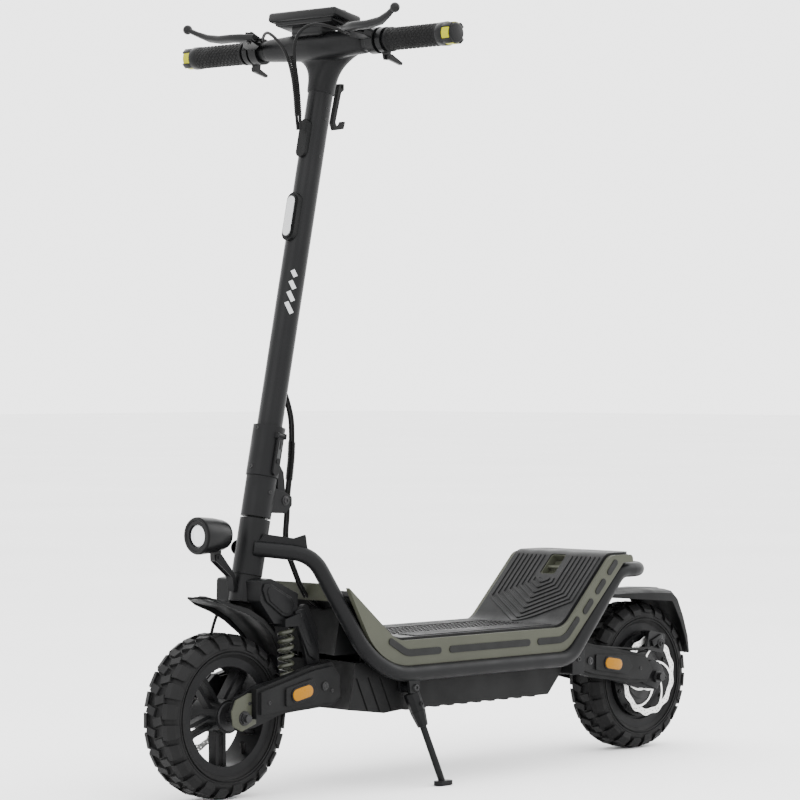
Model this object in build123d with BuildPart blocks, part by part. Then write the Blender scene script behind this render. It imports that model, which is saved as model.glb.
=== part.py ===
from build123d import *
import os
from math import cos, hypot, radians, sin, sqrt, tan

# Electric kick scooter with a folding stem, swing-arm suspension at both ends, a hub motor in
# the rear wheel and a battery under an S-shaped deck.  Millimetres.  +X is forward, +Y is the
# rider's left, +Z is up.  The wheels stand on Z = 0 and the origin is below the middle of the
# scooter's length.

# ---------------------------------------------------------------- driving dimensions
wheelbase = 983.0
front_axle_x = 495.0
tyre_radius = 128.0
tyre_half_width = 35.0
bead_radius = 88.0

steer_tilt = 12.0
steer_ground_x = 501.5
bar_height = 1174.5
bar_reach = 22.0
bar_half_length = 304.0

fit = 0.3
running = 0.05

# head tube, crown and stem, as heights on the steering axis
crown_low = 300.0
head_low = 341.5
head_high = 428.0
lower_stem_low = 431.0
fold_height = 494.0
collar_high = 572.0
stem_tube_high = 1136.0
shell_low = 1104.0
head_tube_radius = 24.0
head_bore = 19.0
steerer_radius = 15.0
crown_radius = 22.5
stem_radius = 20.0
stem_wall = 2.0
collar_radius = 25.5

# folding hinge
fold_pin_x = 362.0
fold_pin_z = 456.0
fold_pin_radius = 4.0
fold_ear_gap = 9.5
fold_ear_width = 8.0

# frame rails
rail_radius = 12.5
rail_wall = 2.0
rail_y = 112.0
rail_z = 179.0
kick_rail_y = 98.0
loop_x = -422.0
loop_z = 320.0
rail_front_x = 252.0
rail_rear_x = -205.0
rail_top_x = -350.0

# deck, as the line of the deck plate's upper face
deck_level = 232.0
front_bend_x = 207.0
front_kick_angle = 40.0
front_kick_run = 95.0
rear_bend_x = -198.0
rear_kick_angle = 45.0
kick_top = 347.0
deck_rear_x = -380.0
deck_half_width = 104.0
deck_plate_thickness = 6.0
mat_thickness = 4.0
mat_margin = 3.0
panel_thickness = 8.0
panel_height = 39.0

# battery case
case_front_x = 172.0
case_rear_x = -212.0
case_low = 120.0
case_high = 220.0
case_half_width = 88.0
case_wall = 3.0

# swing arms
arm_plate_y = 56.0
arm_plate_thickness = 6.0
cover_thickness = 22.0
front_pivot_x = 338.0
rear_pivot_x = -293.0
pivot_z = 168.0
pivot_bolt_radius = 6.0
axle_radius = 6.0
leg_y = 44.0
leg_thickness = 8.0
spring_y = 43.0
front_spring_x = 386.0
front_spring_low = 183.0
front_spring_high = 262.0
rear_spring_y = 26.0
rear_spring_x = -326.0
rear_spring_low = 176.0
rear_spring_high = 285.0
spring_radius = 12.5
spring_hole = 8.0

# wheels and brakes
hub_radius = 26.0
hub_half_width = 30.0
rim_half_width = 27.0
rim_wall = 3.0
bearing_radius = 14.0
bearing_width = 8.0
spoke_count = 5
rotor_y = 47.0
rotor_thickness = 2.0
front_rotor_radius = 60.0
rear_rotor_radius = 70.0
motor_half_width = 32.0
motor_wall = 4.0
motor_axle_radius = 7.0

# handlebar and controls
bar_radius = 15.9
bar_wall = 2.4
grip_radius = 18.0
grip_inner_y = 162.0
cap_inner_y = 271.0
clamp_y = 132.0
clamp_width = 16.0
lever_forward = 42.0
lever_up = 18.0
lever_pivot_y = 112.0
lever_tip_y = 232.0
pod_width = 150.0
pod_depth = 62.0
pod_thickness = 16.0
cable_radius = 2.5

# ---------------------------------------------------------------- derived places
axle_z = tyre_radius
rear_axle_x = front_axle_x - wheelbase
tilt = radians(steer_tilt)
steer = Plane(origin=(steer_ground_x, 0, 0), x_dir=(cos(tilt), 0, sin(tilt)),
              z_dir=(-sin(tilt), 0, cos(tilt)))


def steer_x(height):
    """X of the steering axis at a height above the floor."""
    return steer_ground_x - height * tan(tilt)


def along(height):
    """Distance from the floor along the steering axis to a height."""
    return height / cos(tilt)


bar_x = steer_x(bar_height) + bar_reach
arm_outer_y = arm_plate_y + arm_plate_thickness
cover_outer_y = arm_outer_y + cover_thickness
front_angle = radians(front_kick_angle)
rear_angle = radians(rear_kick_angle)
kick_bend_x = rear_bend_x - (kick_top - deck_level) / tan(rear_angle)
panel_outer_y = deck_half_width + panel_thickness
front_arm_length = hypot(front_axle_x - front_pivot_x, pivot_z - axle_z)


# ---------------------------------------------------------------- shared shapes
def disc(plane, radius, hole=0.0):
    """A round section on a plane, with a round hole when one is given."""
    with BuildSketch(plane) as section:
        Circle(radius)
        if hole > 0:
            Circle(hole, mode=Mode.SUBTRACT)
    return section.sketch


def outline(plane, points, radius=0.0):
    """A straight-sided section, its corners rounded when a radius is given."""
    with BuildSketch(plane) as section:
        Polygon(*points, align=None)
        if radius > 0:
            fillet(section.vertices(), radius)
    return section.sketch


def side(y):
    """The upright fore-and-aft plane at y; its sketch axes are X and Z and it faces -Y."""
    return Plane.XZ.offset(-y)


def across(x, y, z):
    """A plane square to Y through a point, facing +Y, for what lies along an axle."""
    return Plane(origin=(x, y, z), x_dir=(1, 0, 0), z_dir=(0, 1, 0))


def radial(x, z):
    """A plane through an axle's centre, its sketch axes along the axle and straight up."""
    return Plane(origin=(x, 0, z), x_dir=(0, 1, 0), z_dir=(1, 0, 0))


def axle(x, z):
    """The axle line at x and z."""
    return Axis((x, 0, z), (0, 1, 0))


def deck_line(rise):
    """The deck's S-line in X and Z, from front to rear, moved square to itself by rise."""
    front_x = front_bend_x + front_kick_run
    front_z = deck_level + front_kick_run * tan(front_angle)
    return [
        (front_x - rise * sin(front_angle), front_z + rise * cos(front_angle)),
        (front_bend_x - rise * tan(front_angle / 2), deck_level + rise),
        (rear_bend_x + rise * tan(rear_angle / 2), deck_level + rise),
        (kick_bend_x + rise * tan(rear_angle / 2), kick_top + rise),
        (deck_rear_x, kick_top + rise),
    ]


def deck_band(low, high, half_width):
    """A solid that follows the S-line between two rises."""
    with BuildSketch(side(-half_width)) as section:
        with BuildLine():
            upper = FilletPolyline(*deck_line(high), radius=[60 - high, 45 - high, 25 + high])
            lower = FilletPolyline(*deck_line(low), radius=[60 - low, 45 - low, 25 + low])
            Line(upper @ 0, lower @ 0)
            Line(upper @ 1, lower @ 1)
        make_face()
    return extrude(section.sketch, amount=-2 * half_width, mode=Mode.PRIVATE)


def cable(points, radius, least=5.0):
    """A round cable along straight runs joined by arcs as large as the runs allow."""
    vectors = [Vector(*point) for point in points]
    radii = []
    for before, here, after in zip(vectors, vectors[1:], vectors[2:]):
        turn = radians((here - before).get_angle(after - here))
        shorter = min((here - before).length, (after - here).length)
        radii.append(0.45 * shorter / tan(turn / 2))
    print("cable bend radii", [round(value, 1) for value in radii], "least", least * 2 * radius)
    with BuildLine() as route:
        FilletPolyline(*points, radius=radii)
    start = Plane(origin=route.line @ 0, z_dir=route.line % 0)
    return sweep(disc(start, radius), path=route.line, mode=Mode.PRIVATE)


def write(piece, name):
    """Label a finished piece and write its file."""
    piece.part.label = name
    export_step(piece.part, "parts/" + name + ".step")


os.makedirs("parts", exist_ok=True)

# ================================================================ frame
rail_points = [
    (430, 17, 384),
    (361, 76, 374),
    (rail_front_x, rail_y, rail_z),
    (rail_rear_x, rail_y, rail_z),
    (rail_top_x, kick_rail_y, loop_z),
    (loop_x, kick_rail_y, loop_z),
    (loop_x, 0, loop_z),
]
rail_bends = [55, 125, 60, 45, 40]
with BuildLine() as rail_line:
    FilletPolyline(*rail_points, radius=rail_bends)
rail_start = Plane(origin=rail_line.line @ 0, z_dir=rail_line.line % 0)

strap_xs = (140.0, -20.0, -170.0)
strap_width = 30.0
strap_thickness = deck_level - deck_plate_thickness - case_high
beam_front_x = -222.0
beam_length = 30.0
ear_y = 46.0
ear_thickness = 8.0
rear_bridge_radius = 9.0
rear_bridge_z = rear_spring_high + 3 + rear_bridge_radius
kickstand_x = 172.0
kickstand_z = 156.5
kickstand_y = 104.0
kickstand_pin = 4.0

with BuildPart() as main_frame:
    # one rail, its weld-on gusset, and the halves of the cross members
    sweep(disc(rail_start, rail_radius, rail_radius - rail_wall), path=rail_line.line)
    run = (Vector(*rail_points[1]) - Vector(*rail_points[0])).normalized()
    gusset = Plane(origin=rail_points[0], x_dir=run, z_dir=run.cross(Vector(0, 0, 1)))
    extrude(outline(gusset, [(4, 6), (84, 6), (78, 30), (60, 22), (14, 24)], 2), amount=2, both=True)
    for strap_x in strap_xs:
        with BuildSketch(Plane.XY.offset(case_high)):
            with Locations((strap_x, 0)):
                Rectangle(strap_width, deck_half_width - 4, align=(Align.CENTER, Align.MIN))
        extrude(amount=strap_thickness)
        with BuildSketch(Plane.XY.offset(rail_z)):
            with Locations((strap_x, deck_half_width - 10)):
                Rectangle(strap_width, 8, align=(Align.CENTER, Align.MIN))
        extrude(amount=case_high + strap_thickness - rail_z)
    # rear beam, its ears for the swing arm, and the bridge that the springs push against
    beam = [(beam_front_x, 150), (beam_front_x, 200), (beam_front_x - beam_length, 200),
            (beam_front_x - beam_length, 150)]
    extrude(outline(side(0), beam, 4), amount=-deck_half_width)
    ear = [(-226, 150), (-226, 196), (rear_pivot_x - 16, 184), (rear_pivot_x - 16, 154)]
    extrude(outline(side(ear_y), ear, 6), amount=-ear_thickness)
    extrude(disc(across(rear_spring_x, 0, rear_bridge_z), rear_bridge_radius), amount=kick_rail_y)
    upper_seat = Plane(origin=(rear_spring_x, rear_spring_y, rear_spring_high), z_dir=(0, 0, 1))
    extrude(disc(upper_seat, spring_radius + 2), amount=6)
    mirror(about=Plane.XZ)
    # kickstand clevis, on the left only
    clevis = [(kickstand_x - 10, 172), (kickstand_x + 16, 172), (kickstand_x + 12, 148),
              (kickstand_x - 8, 148)]
    extrude(outline(side(kickstand_y - 13), clevis, 3), amount=-5)
    extrude(outline(side(kickstand_y + 9), clevis, 3), amount=-5)
    crest = [(kickstand_x - 10, 166), (kickstand_x + 16, 166), (kickstand_x + 16, 173),
             (kickstand_x - 10, 173)]
    extrude(outline(side(kickstand_y - 13), crest, 1), amount=-27)
    extrude(disc(across(kickstand_x, kickstand_y - 12, kickstand_z), kickstand_pin), amount=25)
    # head tube
    extrude(disc(steer.offset(along(head_low)), head_tube_radius), amount=along(head_high - head_low))
    extrude(disc(steer.offset(along(head_low - 5)), head_bore), amount=along(head_high - head_low + 10),
            mode=Mode.SUBTRACT)
    # bolt holes through the rear ears
    extrude(disc(across(rear_pivot_x, -70, pivot_z), pivot_bolt_radius), amount=140, mode=Mode.SUBTRACT)
write(main_frame, "main_frame")

with BuildPart() as frame_bearings:
    # head bearings: a ring at each end of the head tube
    for low in (head_low, head_high - 9):
        extrude(disc(steer.offset(along(low)), head_bore, steerer_radius + running), amount=9)
    # rear pivot bolt with its two heads
    extrude(disc(across(rear_pivot_x, -arm_plate_y - 5, pivot_z), pivot_bolt_radius),
            amount=2 * arm_plate_y + 10)
write(frame_bearings, "frame_bearings")

pocket_x = -293.0
pocket_depth = 14.0
pocket_length = 46.0
pocket_width = 34.0
pocket_z = deck_level + (rear_bend_x - pocket_x) * tan(rear_angle)
pocket_plane = Plane(
    origin=(pocket_x, 0, pocket_z), x_dir=(-cos(rear_angle), 0, sin(rear_angle)), z_dir=(sin(rear_angle),
                                                                                         0, cos(rear_angle))
)


def pocket_box(length, width, low, high):
    """A block square to the rear kick's slope, centred on the catch pocket."""
    with BuildSketch(pocket_plane.offset(low)) as section:
        RectangleRounded(length, width, 5)
    return extrude(section.sketch, amount=high - low, mode=Mode.PRIVATE)


with BuildPart() as deck_plate:
    add(deck_band(-deck_plate_thickness, 0, deck_half_width))
    fillet(deck_plate.edges().filter_by(Axis.Z).group_by(Axis.X)[0], 24)
    add(pocket_box(pocket_length, pocket_width, -20, 20), mode=Mode.SUBTRACT)
write(deck_plate, "deck_plate")

with BuildPart() as deck_mat:
    add(deck_band(0, mat_thickness, deck_half_width - mat_margin))
    fillet(deck_mat.edges().filter_by(Axis.Z).group_by(Axis.X)[0], 22)
    add(pocket_box(pocket_length, pocket_width, -20, 20), mode=Mode.SUBTRACT)
write(deck_mat, "deck_mat")

with BuildPart() as catch_pocket:
    # an open cup in the rear kick, with the bar that the bag hook catches when the stem is down
    add(pocket_box(pocket_length, pocket_width, -pocket_depth, 2))
    add(pocket_box(pocket_length - 4, pocket_width - 4, 2 - pocket_depth, 3), mode=Mode.SUBTRACT)
    with Locations(pocket_plane.offset(-5)):
        Cylinder(3, pocket_width - 3, rotation=(90, 0, 0))
write(catch_pocket, "catch_pocket")

# the side panels lie between the rail and the deck's edge
panel_low = rail_z + rail_radius + fit
rail_run = Vector(*rail_points[1]) - Vector(*rail_points[2])
rail_slope = rail_run.X / rail_run.Z
rail_gap = (rail_radius + 1) * sqrt(1 + rail_slope**2)


def rail_rear_edge(height):
    """X of the rear edge of the rail's front climb, with clearance."""
    return rail_front_x + (height - rail_z) * rail_slope - rail_gap


kick_slope = (rail_top_x - rail_rear_x) / (loop_z - rail_z)
kick_gap = (rail_radius + 1) * sqrt(1 + kick_slope**2)


def rail_kick_edge(height):
    """X of the upper edge of the rail's rear climb, with clearance."""
    return rail_rear_x + (height - rail_z) * kick_slope + kick_gap


panel_tail_x = -370.0
panel_tail_z = loop_z + rail_radius + 1.5
tip_z = 321.0
panel_points = [
    (rail_rear_edge(tip_z) - 1, tip_z),
    (front_bend_x, deck_level),
    (rear_bend_x, deck_level),
    (kick_bend_x, kick_top),
    (panel_tail_x, kick_top),
    (panel_tail_x, panel_tail_z),
    (rail_kick_edge(panel_tail_z), panel_tail_z),
    (rail_kick_edge(panel_low), panel_low),
    (rail_rear_edge(panel_low), panel_low),
    (rail_rear_edge(tip_z - 4), tip_z - 4),
]
panel_corners = [
    ((front_bend_x, deck_level), 60),
    ((rear_bend_x, deck_level), 45),
    ((kick_bend_x, kick_top), 25),
    ((panel_tail_x, kick_top), 8),
    ((rail_kick_edge(panel_low), panel_low), rail_bends[2] - rail_radius + 2),
    ((rail_rear_edge(panel_low), panel_low), rail_bends[1] - rail_radius),
]
with BuildPart() as side_panels:
    with BuildSketch(side(deck_half_width)) as panel_face:
        Polygon(*panel_points, align=None)
        for corner, bend in panel_corners:
            fillet(panel_face.vertices().sort_by_distance(corner)[0], bend)
    extrude(amount=-panel_thickness)
    mirror(about=Plane.XZ)
    # the wall that closes the deck at the front, between the rails
    wall_x = front_bend_x + front_kick_run
    extrude(outline(side(0), [(wall_x + 4.2, 298), (wall_x + 10, 298), (wall_x + 10, 325),
                              (wall_x + 4.2, 325)], 1),
            amount=70, both=True)
write(side_panels, "side_panels")

inlay_z = deck_level - 20
inlay_height = 11.0
inlay_routes = [
    [(222, 232), (186, inlay_z), (113, inlay_z)],
    [(-130, inlay_z), (-192, inlay_z), (-224, 243)],
]
with BuildPart() as side_inlays:
    with BuildSketch(side(panel_outer_y)):
        for points, bend in zip(inlay_routes, (40, 40)):
            with BuildLine(mode=Mode.PRIVATE) as inlay_line:
                FilletPolyline(*points, radius=bend)
            SlotArc(inlay_line.wire(), inlay_height)
        with Locations((-9, inlay_z)):
            SlotOverall(194, inlay_height)
        with Locations((-252, 264), (-284, 296), (-315, 327)):
            SlotOverall(32, inlay_height, rotation=-rear_kick_angle)
    extrude(amount=-1.5)
    mirror(about=Plane.XZ)
write(side_inlays, "side_inlays")

# ---------------------------------------------------------------- battery case and what it holds
case_points = [
    (case_front_x, case_low),
    (case_front_x, case_high),
    (case_rear_x, case_high),
    (case_rear_x, case_low + 36),
    (case_rear_x + 34, case_low),
]
rib_pitch = 33.0
rib_count = 10
with BuildPart() as battery_case:
    extrude(outline(side(0), case_points), amount=case_half_width, both=True)
    fillet(battery_case.edges().filter_by(Axis.Y).group_by(Axis.X)[0], 12)
    inner = [
        (case_front_x - case_wall, case_low + case_wall),
        (case_front_x - case_wall, case_high + 1),
        (case_rear_x + case_wall, case_high + 1),
        (case_rear_x + case_wall, case_low + 38),
        (case_rear_x + 36, case_low + case_wall),
    ]
    extrude(outline(side(0), inner), amount=case_half_width - case_wall, both=True, mode=Mode.SUBTRACT)
    for step in range(rib_count):
        rib_x = case_rear_x + 50 + rib_pitch * step
        rib = [(rib_x, case_low + 1), (rib_x + 20, case_low + 1), (rib_x + 15, case_low - 3.5),
               (rib_x + 4, case_low - 3.5)]
        extrude(outline(side(0), rib), amount=case_half_width - 12, both=True)
write(battery_case, "battery_case")

with BuildPart() as battery_pack:
    pack_points = [(-160, case_low + case_wall), (-160, 203), (104, 203), (104, case_low + case_wall)]
    extrude(outline(side(0), pack_points, 4), amount=78, both=True)
    # the controller, in front of the cells
    board_points = [(112, case_low + case_wall), (112, 168), (164, 168), (164, case_low + case_wall)]
    extrude(outline(side(0), board_points, 3), amount=55, both=True)
write(battery_pack, "battery_pack")

# the front of the body is hollowed round the steering axis, so that the arms can swing
sweep_radius = 198.0
nose_sweep_radius = 161.0
guard_points = [(case_front_x + fit, case_low), (214, 117), (292, 127), (320, 147), (320, 200),
                (case_front_x + fit, 200)]
under = deck_line(-deck_plate_thickness - fit)
nose_half_width = 72.0
nose_points = [(case_front_x + 8, 200 + fit), (330, 200 + fit), (330, 297), under[0], under[1],
               (case_front_x + 8, under[1][1])]
nose_inner = [(case_front_x + 7, 199), (254, 199), (254, 250), (under[1][0], under[1][1] - 8),
              (case_front_x + 7, under[1][1] - 8)]
with BuildPart() as nose_box:
    extrude(outline(side(0), nose_points), amount=nose_half_width, both=True)
    extrude(disc(steer, nose_sweep_radius), amount=400, mode=Mode.SUBTRACT)
    with BuildSketch(Plane.XY.offset(199)):
        with Locations((steer_ground_x, 0)):
            Rectangle(2 * (steer_ground_x - 250), 200)
    extrude(amount=14, mode=Mode.SUBTRACT)
    extrude(outline(side(0), nose_inner), amount=nose_half_width - 3, both=True, mode=Mode.SUBTRACT)

with BuildPart() as front_cover:
    extrude(outline(side(0), guard_points), amount=case_half_width, both=True)
    extrude(disc(steer, sweep_radius), amount=400, mode=Mode.SUBTRACT)
    hollow = [(case_front_x - 1, 123), (214, 120), (250, 124), (250, 201), (case_front_x - 1, 201)]
    extrude(outline(side(0), hollow), amount=case_half_width - 3, both=True, mode=Mode.SUBTRACT)
    for groove_x in (196, 222, 248):
        groove = [(groove_x, 120), (groove_x + 4, 120), (groove_x + 30, 176), (groove_x + 26, 176)]
        extrude(outline(side(case_half_width - 2), groove), amount=-5, mode=Mode.SUBTRACT)
        extrude(outline(side(-case_half_width + 2), groove), amount=5, mode=Mode.SUBTRACT)
    add(nose_box.part)
write(front_cover, "front_cover")

# ---------------------------------------------------------------- kickstand
stand_foot = Vector(132, 140, 1.0)
stand_pivot = Vector(kickstand_x, kickstand_y, kickstand_z)
stand_leg = stand_foot - stand_pivot
stand_plane = Plane(origin=stand_pivot, z_dir=stand_leg)
with BuildPart() as kickstand:
    with BuildSketch(stand_plane.offset(14)):
        Rectangle(12, 15)
    extrude(amount=48)
    fillet(kickstand.edges().group_by(SortBy.LENGTH)[-1], 2)
    extrude(disc(stand_plane.offset(4), 5.5), amount=stand_leg.length - 10)
    foot_plane = Plane(origin=(stand_foot.X, stand_foot.Y, 0.5), x_dir=(1, 0, 0), z_dir=(0, 0, 1))
    with BuildSketch(foot_plane):
        SlotOverall(36, 16)
    extrude(amount=7)
    extrude(disc(across(kickstand_x, kickstand_y - 7.7, kickstand_z), 9), amount=16.4)
    extrude(disc(across(kickstand_x, kickstand_y - 9, kickstand_z), kickstand_pin + running), amount=18,
            mode=Mode.SUBTRACT)
write(kickstand, "kickstand")

# ================================================================ fork: what turns with the bar
with BuildPart() as steering_crown:
    extrude(disc(steer.offset(along(crown_low)), crown_radius), amount=along(head_low - crown_low - fit))
    extrude(disc(steer.offset(along(crown_low)), steerer_radius, 10),
            amount=along(fold_height - 12 - crown_low))
write(steering_crown, "steering_crown")

yoke_half_width = 62.0
block_points = [(446, 336), (424, 338), (366, 312), (368, 286), (388, 266), (418, 268), (447, 303)]
leg_points = [(371, 276), (350, 302), (326, 250), (318, 176), (330, 152), (348, 152), (347, 200)]
window_points = [(360, 262), (350, 274), (337, 244), (334, 206), (341, 214)]
with BuildPart() as front_yoke:
    extrude(outline(side(0), block_points, 5), amount=yoke_half_width - 12, both=True)
    extrude(outline(side(leg_y), leg_points, 8), amount=-leg_thickness)
    extrude(outline(side(leg_y), window_points, 1.5), amount=-leg_thickness, mode=Mode.SUBTRACT)
    # the shelf above each spring
    shelf_x = front_spring_x
    shelf = [(shelf_x + 15, front_spring_high), (shelf_x + 15, 274), (shelf_x - 18, 282),
             (shelf_x - 18, front_spring_high)]
    extrude(outline(side(30), shelf, 1), amount=-28)
    mirror(about=Plane.XZ)
    extrude(disc(steer.offset(along(crown_low - 60)), crown_radius), amount=along(120), mode=Mode.SUBTRACT)
    extrude(disc(across(front_pivot_x, -60, pivot_z), pivot_bolt_radius), amount=120, mode=Mode.SUBTRACT)
write(front_yoke, "front_yoke")

fender_half_width = 38.0
fender_thickness = 2.5
with BuildPart() as front_fender:
    with BuildSketch(side(0)):
        with BuildLine():
            FilletPolyline((519, 309), (462, 294), (406, 257), (376, 216), radius=[80, 50])
        trace(line_width=fender_thickness)
    extrude(amount=fender_half_width, both=True)
    # narrower between the springs, with a pad that bolts up under the yoke
    for near in (28, -48):
        extrude(outline(side(near), [(360, 200), (416, 200), (410, 300), (360, 300)]), amount=-20,
                mode=Mode.SUBTRACT)
    extrude(outline(side(0), [(402, 254), (418, 264), (418, 267.6), (402, 266.5)]), amount=14, both=True)
write(front_fender, "front_fender")

pin_overhang = 2.0
with BuildPart() as fork_pins:
    # fold hinge pin and front pivot bolt
    fold_half = fold_ear_gap + fold_ear_width + pin_overhang
    extrude(disc(across(fold_pin_x, -fold_half, fold_pin_z), fold_pin_radius), amount=2 * fold_half)
    extrude(disc(across(front_pivot_x, -arm_plate_y - 5, pivot_z), pivot_bolt_radius),
            amount=2 * arm_plate_y + 10)
write(fork_pins, "fork_pins")

with BuildPart() as lower_stem:
    extrude(disc(steer.offset(along(lower_stem_low)), head_tube_radius),
            amount=along(fold_height - lower_stem_low - fit))
    ear = [(400, 438), (392, 478), (fold_pin_x + 2, 470), (fold_pin_x - 14, 462), (fold_pin_x - 14, 448),
           (fold_pin_x, 436)]
    extrude(outline(side(fold_ear_gap), ear, 5), amount=-fold_ear_width)
    extrude(outline(side(-fold_ear_gap), ear, 5), amount=fold_ear_width)
    extrude(disc(steer.offset(along(lower_stem_low - 2)), steerer_radius), amount=along(70),
            mode=Mode.SUBTRACT)
    extrude(disc(across(fold_pin_x, -30, fold_pin_z), fold_pin_radius), amount=60, mode=Mode.SUBTRACT)
write(lower_stem, "lower_stem")

# ---------------------------------------------------------------- headlight
lamp_z = 406.0
lamp_rear_x = 474.0
lamp_length = 60.0
lamp_radius = 28.5
lens_radius = 18.0
lamp_pivot_x = 494.0
lamp_pivot_z = 372.0
lamp_pin = 2.5
lamp_axis = Plane(origin=(lamp_rear_x, 0, lamp_z), x_dir=(0, 1, 0), z_dir=(1, 0, 0))
lamp_points = [(0, 0), (17, 0), (22, 6), (lamp_radius - 1, lamp_length - 14), (lamp_radius, lamp_length),
               (lens_radius, lamp_length), (lens_radius, lamp_length - 12), (0, lamp_length - 12)]
with BuildPart() as headlight_housing:
    with BuildSketch(Plane(origin=(lamp_rear_x, 0, lamp_z), x_dir=(0, 0, 1), z_dir=(0, 1, 0))):
        Polygon(*lamp_points, align=None)
    revolve(axis=Axis((lamp_rear_x, 0, lamp_z), (1, 0, 0)))
    extrude(outline(side(0), [(lamp_pivot_x - 6, lamp_pivot_z - 6), (lamp_pivot_x - 7, 384),
                              (lamp_pivot_x + 9, 384),
                              (lamp_pivot_x + 6, lamp_pivot_z - 6)], 2), amount=5, both=True)
    extrude(disc(across(lamp_pivot_x, -9, lamp_pivot_z), lamp_pin + running), amount=18, mode=Mode.SUBTRACT)
write(headlight_housing, "headlight_housing")

with BuildPart() as headlight_lens:
    extrude(disc(lamp_axis.offset(lamp_length - 12), lens_radius), amount=6)
    extrude(disc(lamp_axis.offset(lamp_length - 6), lens_radius - 2), amount=3)
write(headlight_lens, "headlight_lens")

bracket_points = [(lamp_pivot_x + 6, lamp_pivot_z + 4), (lamp_pivot_x + 5, lamp_pivot_z - 6), (466, 340),
                  (462, 320),
                  (457, 320), (461, 345), (lamp_pivot_x - 5, lamp_pivot_z + 5)]
with BuildPart() as headlight_bracket:
    extrude(outline(side(5 + fit), bracket_points, 2), amount=-2)
    extrude(outline(side(-5 - fit), bracket_points, 2), amount=2)
    extrude(disc(across(lamp_pivot_x, -9, lamp_pivot_z), lamp_pin), amount=18)
    foot = [(461.5, 345), (466, 342), (462, 318), (450, 318)]
    extrude(outline(side(0), foot), amount=7, both=True)
    extrude(disc(steer.offset(along(crown_low)), crown_radius), amount=along(60), mode=Mode.SUBTRACT)
write(headlight_bracket, "headlight_bracket")

# ================================================================ stem: what folds
with BuildPart() as fold_collar:
    extrude(disc(steer.offset(along(fold_height)), collar_radius), amount=along(collar_high - fold_height))
    tongue = [(396, 506), (372, 520), (358, 500), (fold_pin_x - 9, fold_pin_z),
              (fold_pin_x - 4, fold_pin_z - 9),
              (fold_pin_x + 6, fold_pin_z - 8), (fold_pin_x + 9, fold_pin_z + 4), (371, 494)]
    extrude(outline(side(0), tongue, 3), amount=fold_ear_gap - fit, both=True)
    extrude(disc(steer.offset(along(fold_height + 8)), stem_radius), amount=along(100), mode=Mode.SUBTRACT)
    extrude(disc(across(fold_pin_x, -20, fold_pin_z), fold_pin_radius + running), amount=40,
            mode=Mode.SUBTRACT)
    # two ears and the pin that carry the latch lever
    for ear_x in (-9.5, 6.5):
        latch_ear = Plane(origin=steer.from_local_coords(Vector(ear_x, 0, along(558))), x_dir=(0, 1, 0),
                          z_dir=steer.x_dir)
        with BuildSketch(latch_ear):
            with Locations((26, 0)):
                RectangleRounded(13, 9, 2)
        extrude(amount=3)
    latch_pin = Plane(origin=steer.from_local_coords(Vector(-9.5, 29.5, along(558))), z_dir=steer.x_dir)
    extrude(disc(latch_pin, 1.5), amount=19)
write(fold_collar, "fold_collar")

latch_length = 58.0
with BuildPart() as fold_latch:
    latch_face = Plane(origin=steer.from_local_coords(Vector(0, 26.2, along(558))), x_dir=steer.z_dir,
                       z_dir=(0, 1, 0))
    with BuildSketch(latch_face):
        with Locations((-latch_length / 2 - 1.75, 0)):
            SlotOverall(latch_length + 6.5, 12.4)
    extrude(amount=4.5)
    extrude(disc(latch_pin.offset(3 + fit), 3), amount=12.4)
    extrude(disc(latch_pin.offset(-2), 1.5 + running), amount=24, mode=Mode.SUBTRACT)
write(fold_latch, "fold_latch")

port_low = 993.0
port_high = 1053.0
with BuildPart() as stem_tube:
    extrude(disc(steer.offset(along(fold_height + 8)), stem_radius, stem_radius - stem_wall),
            amount=along(stem_tube_high - fold_height - 8))
write(stem_tube, "stem_tube")

bar_axis = across(bar_x, 0, bar_height)
with BuildPart() as bar_shell:
    extrude(disc(bar_axis, bar_radius + 4), amount=112, both=True)
    extrude(disc(steer.offset(along(shell_low)), stem_radius + 2), amount=along(64))
    neck = Plane(origin=steer.from_local_coords(Vector(4, 0, along(bar_height) - 6)), x_dir=(0, 1, 0),
                 z_dir=steer.x_dir)
    with BuildSketch(neck):
        with BuildLine():
            web = Polyline((-92, 18), (92, 18), (92, 0))
            RadiusArc(web @ 1, (20, -60), -84)
            Line((20, -60), (-20, -60))
            RadiusArc((-20, -60), (-92, 0), -84)
            Line((-92, 0), web @ 0)
        make_face()
    extrude(amount=13, both=True)
    # ears for the bag hook, behind the stem
    hook_ear = [(218, 1106), (218, 1120), (246, 1124), (246, 1108)]
    for near in (4 + fit, -8 - fit):
        extrude(outline(side(near), hook_ear, 2), amount=-4)
    extrude(disc(across(224, -8, 1113), 2.5), amount=16)
    extrude(disc(bar_axis, bar_radius), amount=130, both=True, mode=Mode.SUBTRACT)
    extrude(disc(steer.offset(along(shell_low - 2)), stem_radius),
            amount=along(stem_tube_high - shell_low + 2),
            mode=Mode.SUBTRACT)
write(bar_shell, "bar_shell")

hook_points = [(219, 1118), (229, 1118), (232, 1106), (245, 1054), (240, 1043), (220, 1046), (216, 1058),
               (222, 1058),
               (226, 1052), (236, 1051), (238, 1056), (225, 1104), (219, 1108)]
with BuildPart() as bag_hook:
    extrude(outline(side(0), hook_points, 1.2), amount=4, both=True)
    extrude(disc(across(224, -6, 1113), 2.5 + running), amount=12, mode=Mode.SUBTRACT)
write(bag_hook, "bag_hook")

with BuildPart() as handlebar:
    extrude(disc(bar_axis, bar_radius, bar_radius - bar_wall), amount=bar_half_length - 10, both=True)
write(handlebar, "handlebar")

with BuildPart() as grips:
    extrude(disc(across(bar_x, grip_inner_y, bar_height), grip_radius, bar_radius),
            amount=cap_inner_y - grip_inner_y)
    mirror(about=Plane.XZ)
write(grips, "grips")

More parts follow.
